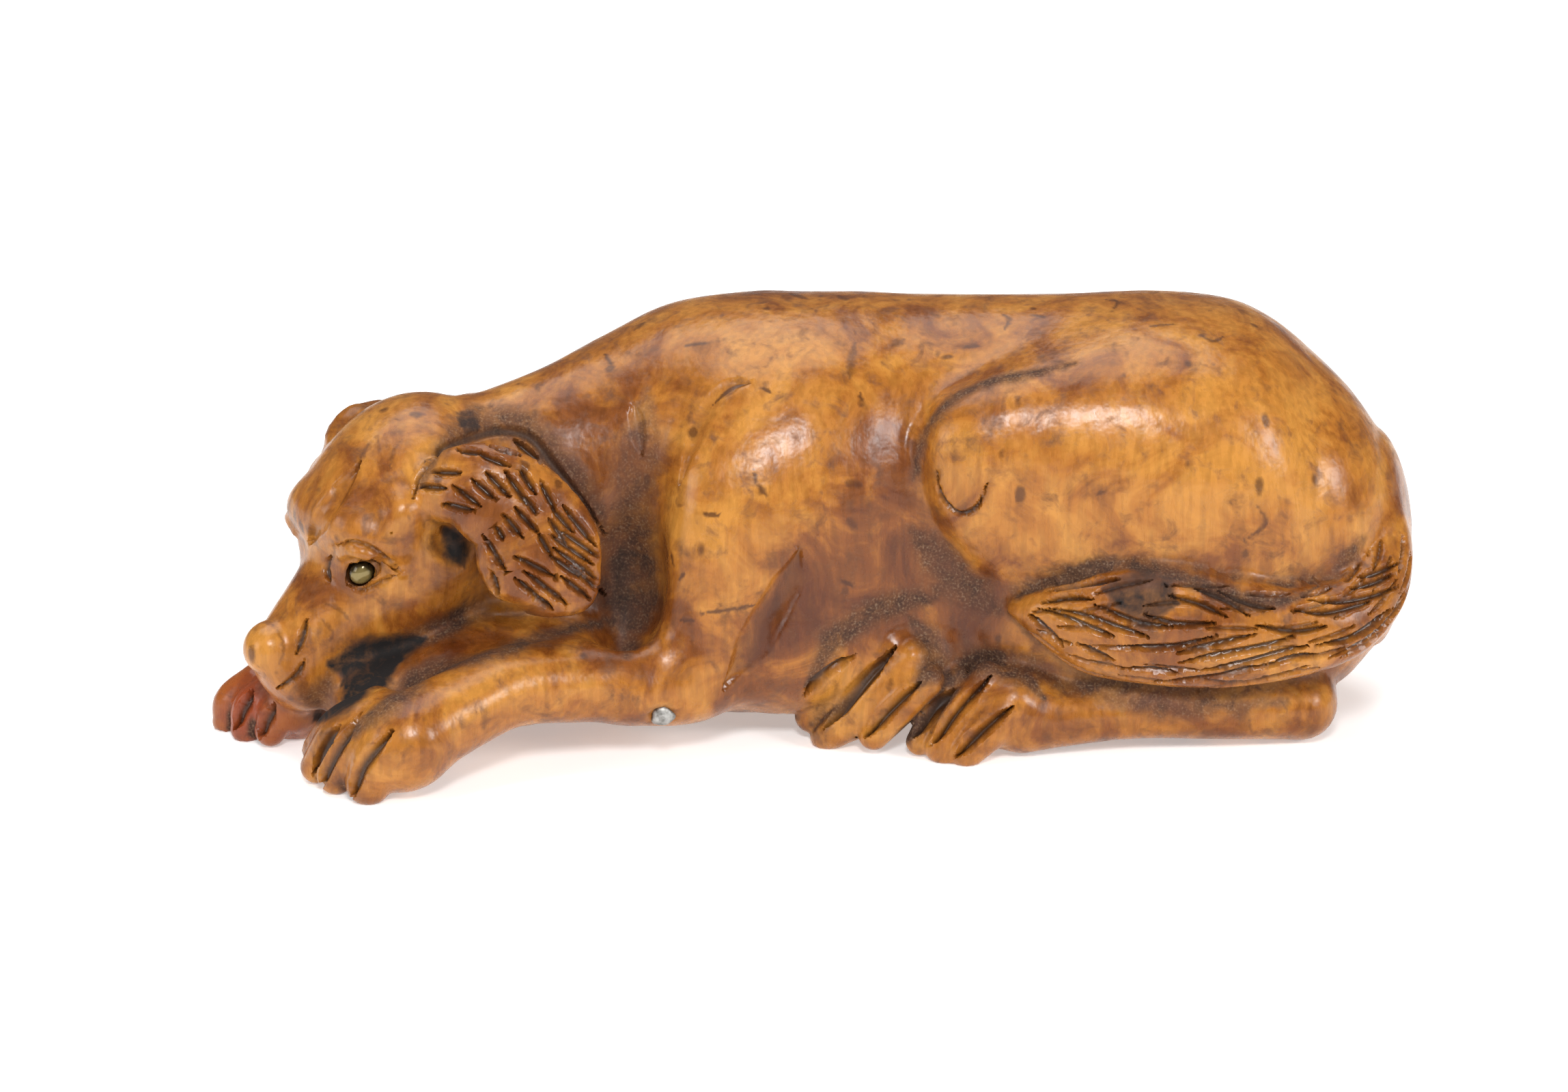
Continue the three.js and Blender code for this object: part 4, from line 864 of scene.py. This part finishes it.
# A colour by figure and tone, the tone partly painted light and shade, then the layers over it, each by its
# share
def burrWood():
    material, tree, shader, place = newFinish("burrWoodPolished")
    upright = addNode(tree, "Mapping", {"Vector": place, "Scale": (1.0, 1.0, 0.14)}).outputs[0]
    pattern = {}
    for name, more in burrPatterns.items():
        along = upright if name == "streak" else place
        noise = addNode(tree, "TexNoise", {"Vector": along, "Scale": perMm(burr[name]), **more})
        pattern[name] = noise.outputs["Fac"]
    paint = {name: addNode(tree, "Attribute", attribute_name=name).outputs["Fac"] for name in skinPaint}
    toned = addNode(tree, "Math", {0: paint["toneLightAndShade"], 1: 0.19, 2: pattern["figure"]}, operation="MULTIPLY_ADD")
    wood = addNode(tree, "ValToRGB", {"Fac": toned.outputs[0]}, [
        (0.22, burr["red"]), (0.38, burr["brown"]), (0.5, burr["honey"]), (0.66, burr["pale"])]).outputs[0]
    clouds = addNode(tree, "MapRange", {"Value": pattern["cloud"], "From Min": 0.54, "From Max": 0.72,
                                        "To Max": 0.6})
    streaks = addNode(tree, "ValToRGB", {"Fac": pattern["streak"]}, [(0.32, 0.68), (0.6, 1.0)])
    # Buds: dark spots in some cells, with ragged edges
    leaning = addNode(tree, "Mapping", {"Vector": place, "Rotation": (0.3, 0.5, 0.0),
                                        "Scale": (1.0, 1.0, 0.55)})
    buds = addNode(tree, "TexVoronoi", {"Vector": leaning.outputs[0], "Scale": perMm(burr["budSize"]),
                                        "Randomness": 1.0})
    chance = addNode(tree, "SeparateColor", {"Color": buds.outputs["Color"]})
    size = addNode(tree, "MapRange", {"Value": chance.outputs[0], "From Min": 0.36, "From Max": 1.0,
                                      "To Min": 0.0, "To Max": 0.27})
    ragged = addNode(tree, "Math", {0: pattern["cloud"], 1: 0.5, 2: buds.outputs["Distance"]},
                     operation="MULTIPLY_ADD")
    inBud = addNode(tree, "Math", {0: size.outputs[0], 1: ragged.outputs[0]}, operation="SUBTRACT")
    budShare = addNode(tree, "MapRange", {"Value": inBud.outputs[0], "From Min": -0.24, "From Max": -0.12,
                                          "To Max": 0.7})
    share = {}
    for name, (edge, weight, start, full, most) in burrDrawn.items():
        torn = addNode(tree, "Math", {0: pattern[edge], 1: weight, 2: paint[name]}, operation="MULTIPLY_ADD")
        fill = addNode(tree, "MapRange", {"Value": torn.outputs[0], "From Min": start, "From Max": full,
                                          "To Max": most})
        share[name] = fill.outputs[0]
    dark = addNode(tree, "Math", {0: budShare.outputs[0], 1: share["fleck"]}, operation="MAXIMUM")
    # Soil colours, which are also the colours of the painted shade in hollows
    soilAndShade = addNode(tree, "ValToRGB", {"Fac": pattern["speck"]}, [
        (0.35, burr["oldDirtAndShade"]), (0.55, burr["dirtAndShade"]), (0.75, burr["dust"])])
    # Laid over the ground in turn, each with its share; the soil, cut and stain layers carry painted shade as
    # well as dirt and stain
    layers = [
        (clouds.outputs[0], colour(burr["brown"]), "MIX"), (0.7, streaks.outputs[0], "MULTIPLY"),
        (dark.outputs[0], colour(burr["bud"]), "MIX"), (paint["redPaw"], colour(burr["redPaw"]), "MIX"),
        (share["grimeAndShade"], soilAndShade.outputs[0], "MIX"), (paint["grooveAndShade"], colour(burr["grooveAndShade"]), "MIX"),
        (share["stainAndShade"], colour(burr["stainAndShade"]), "MIX")]
    for amount, shade, way in layers:
        wood = addNode(tree, "Mix", {0: amount, 6: wood, 7: shade}, data_type="RGBA",
                       blend_type=way).outputs[2]
    dulled = addNode(tree, "Math", {0: share["grimeAndShade"], 1: share["stainAndShade"]}, operation="MAXIMUM")
    rough = addNode(tree, "MapRange", {"Value": dulled.outputs[0], "To Min": 0.2, "To Max": 0.75})
    rubbed = addNode(tree, "Math", {0: pattern["streak"], 1: 0.14, 2: rough.outputs[0]},
                     operation="MULTIPLY_ADD")
    lumps = addNode(tree, "Bump", {"Height": pattern["tooling"], "Strength": 0.5, "Distance": 0.25 * mm})
    grain = addNode(tree, "Bump", {"Height": pattern["streak"], "Strength": 0.35, "Distance": 0.04 * mm,
                                   "Normal": lumps.outputs[0]})
    setSockets(tree, shader, {"Base Color": wood, "Roughness": rubbed.outputs[0], "Normal": grain.outputs[0],
                              "Specular IOR Level": 0.34})
    return material


# Bare wood inside, dull and stained brown by snuff
def hollowWood():
    material, tree, shader, place = newFinish("bareWoodSnuffStained")
    patches = addNode(tree, "TexNoise", {"Vector": place, "Scale": perMm(5.0), "Detail": 5.0})
    shades = addNode(tree, "ValToRGB", {"Fac": patches.outputs["Fac"]}, [(0.3, "#4A2C14"), (0.7, "#80552A")])
    marks = addNode(tree, "TexNoise", {"Vector": place, "Scale": perMm(0.8), "Detail": 3.0})
    bump = addNode(tree, "Bump", {"Height": marks.outputs["Fac"], "Strength": 0.4, "Distance": 0.15 * mm})
    setSockets(tree, shader, {"Base Color": shades.outputs[0], "Normal": bump.outputs[0], "Roughness": 0.75})
    return material


# A mesh as a smooth piece that rides its body in place of a CAD node
def placed(name, mesh, body, node):
    piece = linked(name, mesh)
    mesh.polygons.foreach_set("use_smooth", np.ones(len(mesh.polygons), bool))
    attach(piece, body)
    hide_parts(node)
    return piece


# The same from points in mm and faces
def newPiece(name, points, faces, materials, body, node):
    mesh = bpy.data.meshes.new(name)
    mesh.from_pydata(toFrame(points), [], faces)
    for material in materials:
        mesh.materials.append(material)
    return placed(name, mesh, body, node)


# One number on each point of a piece, for its finish to read
def paintPoints(piece, name, values):
    piece.data.attributes.new(name, "FLOAT", "POINT").data.foreach_set("value", values.astype(np.float32))


polished, bare = burrWood(), hollowWood()
dog = newPiece("dog", verts, tris.tolist(), [polished, bare], "dog", "dog_body")
for name, values in skinPaint.items():
    paintPoints(dog, name, values)

# Room for the lid and the snuff hollow, cut as clean shapes
lidSet = {"rear": 38.0, "width": 18.0, "thickness": 4.2, "middleY": 9.8, "corner": 5.0, "gap": 0.35,
          "below": -5.0, "sharpAngle": 40.0, "flatAngle": 2.0, "join": 0.001}
hollowSet = {"low": (-8.0, 2.6, 2.0), "high": (34.0, 17.0, 29.5), "round": 4.2, "steps": 7,
             "sharpAngle": 52.0}


# A box between two corners in mm, its chosen edges rounded
def boxCutter(name, low, high, roundness, chosen):
    low, high = np.array(low), np.array(high)
    bm = bmesh.new()
    place = Matrix.LocRotScale(toFrame((low + high) / 2), None, (high - low) * mm)
    bmesh.ops.create_cube(bm, size=1.0, matrix=place)
    bmesh.ops.bevel(bm, geom=[edge for edge in bm.edges if chosen(edge)], offset=roundness * mm,
                    segments=hollowSet["steps"], profile=0.5, affect="EDGES")
    mesh = bpy.data.meshes.new(name)
    bm.to_mesh(mesh)
    bm.free()
    mesh.materials.append(polished)
    mesh.materials.append(bare)
    mesh.polygons.foreach_set("material_index", np.ones(len(mesh.polygons), np.int32))
    mesh.polygons.foreach_set("use_smooth", np.ones(len(mesh.polygons), bool))
    return linked(name, mesh)


# The lid's two rear corners: edges that stand upright behind the hollow's middle
def rearUpright(edge):
    a, b = edge.verts
    return abs(a.co.z - b.co.z) > mm and a.co.x > hollowSet["high"][0] / 2 * mm


seatHalf = lidSet["width"] / 2 + lidSet["gap"]
seatFront = pinSet["x"] - lidSet["thickness"] / 2 - lidSet["gap"]
seatRoof = pinSet["z"] + lidSet["thickness"] / 2 + lidSet["gap"]
seat = boxCutter("seatCutter", (seatFront, lidSet["middleY"] - seatHalf, lidSet["below"]),
                 (lidSet["rear"] + lidSet["gap"], lidSet["middleY"] + seatHalf, seatRoof),
                 lidSet["corner"] + lidSet["gap"], rearUpright)
hollow = boxCutter("hollowCutter", hollowSet["low"], hollowSet["high"], hollowSet["round"], lambda edge: True)
for cutter in (seat, hollow):
    cut = dog.modifiers.new("cut", "BOOLEAN")
    cut.object, cut.operation, cut.solver = cutter, "DIFFERENCE", "EXACT"
cutMesh = bpy.data.meshes.new_from_object(dog.evaluated_get(bpy.context.evaluated_depsgraph_get()))
dog.modifiers.clear()
dog.data = cutMesh
for cutter in (seat, hollow):
    bpy.data.objects.remove(cutter)
dog.data.set_sharp_from_angle(angle=math.radians(hollowSet["sharpAngle"]))
print("dog hollowed:", len(dog.data.polygons), "faces")


# Faces of a closed shape of rings: quads from ring to ring, then fans to a pole at each end
def ringFaces(rings, columns):
    index = np.arange(rings * columns).reshape(rings, columns)
    right = np.roll(index, -1, 1)
    quads = np.stack([index[:-1], index[1:], right[1:], right[:-1]], -1).reshape(-1, 4).tolist()
    poles = np.full(columns, index.size), np.full(columns, index.size + 1)
    fans = np.vstack([np.stack([poles[0], index[0], right[0]], 1),
                      np.stack([poles[1], right[-1], index[-1]], 1)])
    return quads + fans.tolist()


beadSet = {"rings": 16, "columns": 32, "outward": (0.75, 0.75, 0.1)}


# Eye: a bead, an ellipsoid in head axes, with its outward side marked for the dark rim and the painted shade
# towards its edge
def eyeBead(name, sign, node, material):
    around, across = np.meshgrid(np.linspace(0, 2 * math.pi, beadSet["columns"] + 1)[:-1],
                                 np.linspace(0, math.pi, beadSet["rings"] + 2)[1:-1])
    ball = np.stack([np.cos(around) * np.sin(across), np.sin(around) * np.sin(across), np.cos(across)], -1)
    ball = np.vstack([ball.reshape(-1, 3), [(0, 0, 1)], [(0, 0, -1)]])
    points = eyeCentre(sign) + (ball * np.array(eyeSet["radii"])) @ headAxes
    faces = ringFaces(beadSet["rings"], beadSet["columns"])
    bead = newPiece(name, points, faces, [material], "dog", node)
    paintPoints(bead, "facing", ball @ unit(np.array(beadSet["outward"]) * (1, sign, 1)))


# Olive-gold bead, polished, darker towards its rim: a dark rim, partly painted shade round the edge of the
# dome
def beadFinish():
    material, tree, shader, place = newFinish("oliveGoldBead")
    facing = addNode(tree, "Attribute", attribute_name="facing").outputs["Fac"]
    cloud = addNode(tree, "TexNoise", {"Vector": place, "Scale": perMm(0.9), "Detail": 2.0})
    mixed = addNode(tree, "Math", {0: cloud.outputs["Fac"], 1: 0.4, 2: facing}, operation="MULTIPLY_ADD")
    shades = addNode(tree, "ValToRGB", {"Fac": mixed.outputs[0]}, [
        (0.55, "#0E0B07"), (0.85, "#3C311A"), (1.0, "#7C6C40")])
    setSockets(tree, shader, {"Base Color": shades.outputs[0], "Metallic": 0.35, "Roughness": 0.16})
    return material


bead = beadFinish()
eyeBead("eyeLeft", 1, "eye_left", bead)
eyeBead("eyeRight", -1, "eye_right", bead)


# The pin's ends, in mm: rows of way and radius, and lumps by how many go round, how high and turned by what
hammered = {"profile": [(-0.55, 0.0), (-0.52, 0.5), (-0.4, 0.85), (-0.18, 1.04), (0.1, 1.0)],
            "wireFrom": (0.3, 1.2), "columns": 36, "flat": 0.12, "shoulder": 0.2,
            "lumps": [(3, 0.07, 0.6), (5, 0.05, 0.0)]}


# Pin: a round wire with both ends hammered over; its radius along the way is a profile, its outline lumpy
def hammeredPin():
    wire = pinSet["radius"]
    profile = np.array(hammered["profile"] + [(way, wire) for way in hammered["wireFrom"]])
    ways = np.concatenate([pinSet["near"] + profile[:, 0], (pinSet["far"] - profile[:, 0])[::-1]])
    radii = np.concatenate([profile[:, 1], profile[::-1, 1]])
    angles = np.linspace(0, 2 * math.pi, hammered["columns"] + 1)[:-1]
    lump = 1 + sum(high * np.cos(count * angles + turn) for count, high, turn in hammered["lumps"])
    head = np.clip((radii[1:-1] - wire) / hammered["shoulder"], 0, 1)[:, None]
    reach = radii[1:-1, None] * (1 + head * (lump - 1))
    rings = np.stack([pinSet["x"] + reach * np.cos(angles), np.repeat(ways[1:-1, None], len(angles), 1),
                      pinSet["z"] + reach * np.sin(angles) * (1 - hammered["flat"] * head)], -1)
    poles = [(pinSet["x"], way, pinSet["z"]) for way in (ways[0], ways[-1])]
    faces = [face[::-1] for face in ringFaces(*rings.shape[:2])]
    return np.vstack([rings.reshape(-1, 3), poles]), faces


# Iron wire, hammered, dull grey
def pinMetal():
    material, tree, shader, place = newFinish("ironWireHammered")
    dull = addNode(tree, "TexNoise", {"Vector": place, "Scale": perMm(0.5), "Detail": 4.0})
    shades = addNode(tree, "ValToRGB", {"Fac": dull.outputs["Fac"]}, [(0.3, "#6C6A66"), (0.65, "#B4B3AF")])
    bump = addNode(tree, "Bump", {"Height": dull.outputs["Fac"], "Strength": 0.5, "Distance": 0.08 * mm})
    setSockets(tree, shader, {"Base Color": shades.outputs[0], "Normal": bump.outputs[0], "Metallic": 0.8,
                              "Roughness": 0.5})
    return material


pinPoints, pinFaces = hammeredPin()
newPiece("hingePin", pinPoints, pinFaces, [pinMetal()], "dog", "hinge_pin")


# Plain straight-grained wood, waxed and worn
def lidWood():
    material, tree, shader, place = newFinish("plainWoodWaxed")
    long = addNode(tree, "Mapping", {"Vector": place, "Scale": (0.06, 1.0, 1.0)}).outputs[0]
    grain = addNode(tree, "TexNoise", {"Vector": long, "Scale": perMm(1.1), "Detail": 6.0, "Distortion": 0.4})
    shades = addNode(tree, "ValToRGB", {"Fac": grain.outputs["Fac"]}, [
        (0.3, "#6B3F1A"), (0.5, "#93602A"), (0.68, "#A87336")])
    bump = addNode(tree, "Bump", {"Height": grain.outputs["Fac"], "Strength": 0.3, "Distance": 0.06 * mm})
    setSockets(tree, shader, {"Base Color": shades.outputs[0], "Normal": bump.outputs[0], "Roughness": 0.48})
    return material


# Lid: a copy of the solid's own plate, its loose triangles joined into flat faces
def lidPlate():
    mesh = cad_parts["lid"].data.copy()
    mesh.name = "lidPlate"
    bm = bmesh.new()
    bm.from_mesh(mesh)
    bmesh.ops.remove_doubles(bm, verts=bm.verts, dist=lidSet["join"] * mm)
    flat = math.radians(lidSet["flatAngle"])
    bmesh.ops.dissolve_limit(bm, angle_limit=flat, verts=bm.verts, edges=bm.edges)
    bm.to_mesh(mesh)
    bm.free()
    mesh.materials.clear()
    mesh.materials.append(lidWood())
    placed("lidPlate", mesh, "lid", "lid")
    mesh.set_sharp_from_angle(angle=math.radians(lidSet["sharpAngle"]))


lidPlate()
print("lid, pin and eyes made")

# Pale floor and soft studio light: sizes and places in metres, power in watts
studio = {"floor": "#FFFFFF", "floorHalf": 2.0, "glow": 0.36, "surround": 0.18, "aim": (0.0, 0.0, 0.015)}
lamps = {
    "above": dict(place=(-0.1, 0.15, 0.85), size=0.8, power=6.8),
    "front": dict(place=(0.0, -0.55, 0.42), size=0.12, power=2.5),
    "left": dict(place=(-0.6, -0.35, 0.25), size=0.3, power=1.3),
    "right": dict(place=(0.55, -0.4, 0.3), size=0.2, power=2.4),
}


# White paper, matt, glowing a little so that it stays as pale as the photograph's ground
def paleFloor():
    material, tree, shader, _ = newFinish("palePaper")
    paper = colour(studio["floor"])
    setSockets(tree, shader, {"Base Color": paper, "Roughness": 0.9, "Emission Color": paper,
                              "Emission Strength": studio["glow"]})
    half = studio["floorHalf"]
    mesh = bpy.data.meshes.new("floor")
    mesh.from_pydata([(-half, -half, 0), (half, -half, 0), (half, half, 0), (-half, half, 0)], [],
                     [(0, 1, 2, 3)])
    mesh.materials.append(material)
    linked("floor", mesh)


# A square lamp turned to the object: its pan and drop are the angles of the way to the aim
def softbox(name, place, size, power):
    light = bpy.data.lights.new(name, "AREA")
    light.shape, light.size, light.energy = "SQUARE", size, power
    lamp = linked(name, light)
    lamp.location = place
    aim = np.array(studio["aim"]) - np.array(place)
    pan, drop = math.atan2(-aim[0], aim[1]), math.atan2(aim[2], math.hypot(aim[0], aim[1]))
    lamp.rotation_euler = (math.pi / 2 + drop, 0, pan)


paleFloor()
for name, lamp in lamps.items():
    softbox(name, **lamp)
world = bpy.data.worlds.new("studio")
world.use_nodes = True
setSockets(world.node_tree, world.node_tree.nodes["Background"], {
    "Color": (1, 1, 1, 1), "Strength": studio["surround"]})
scene.world = world
scene.view_settings.view_transform = "Standard"
print("studio lit")
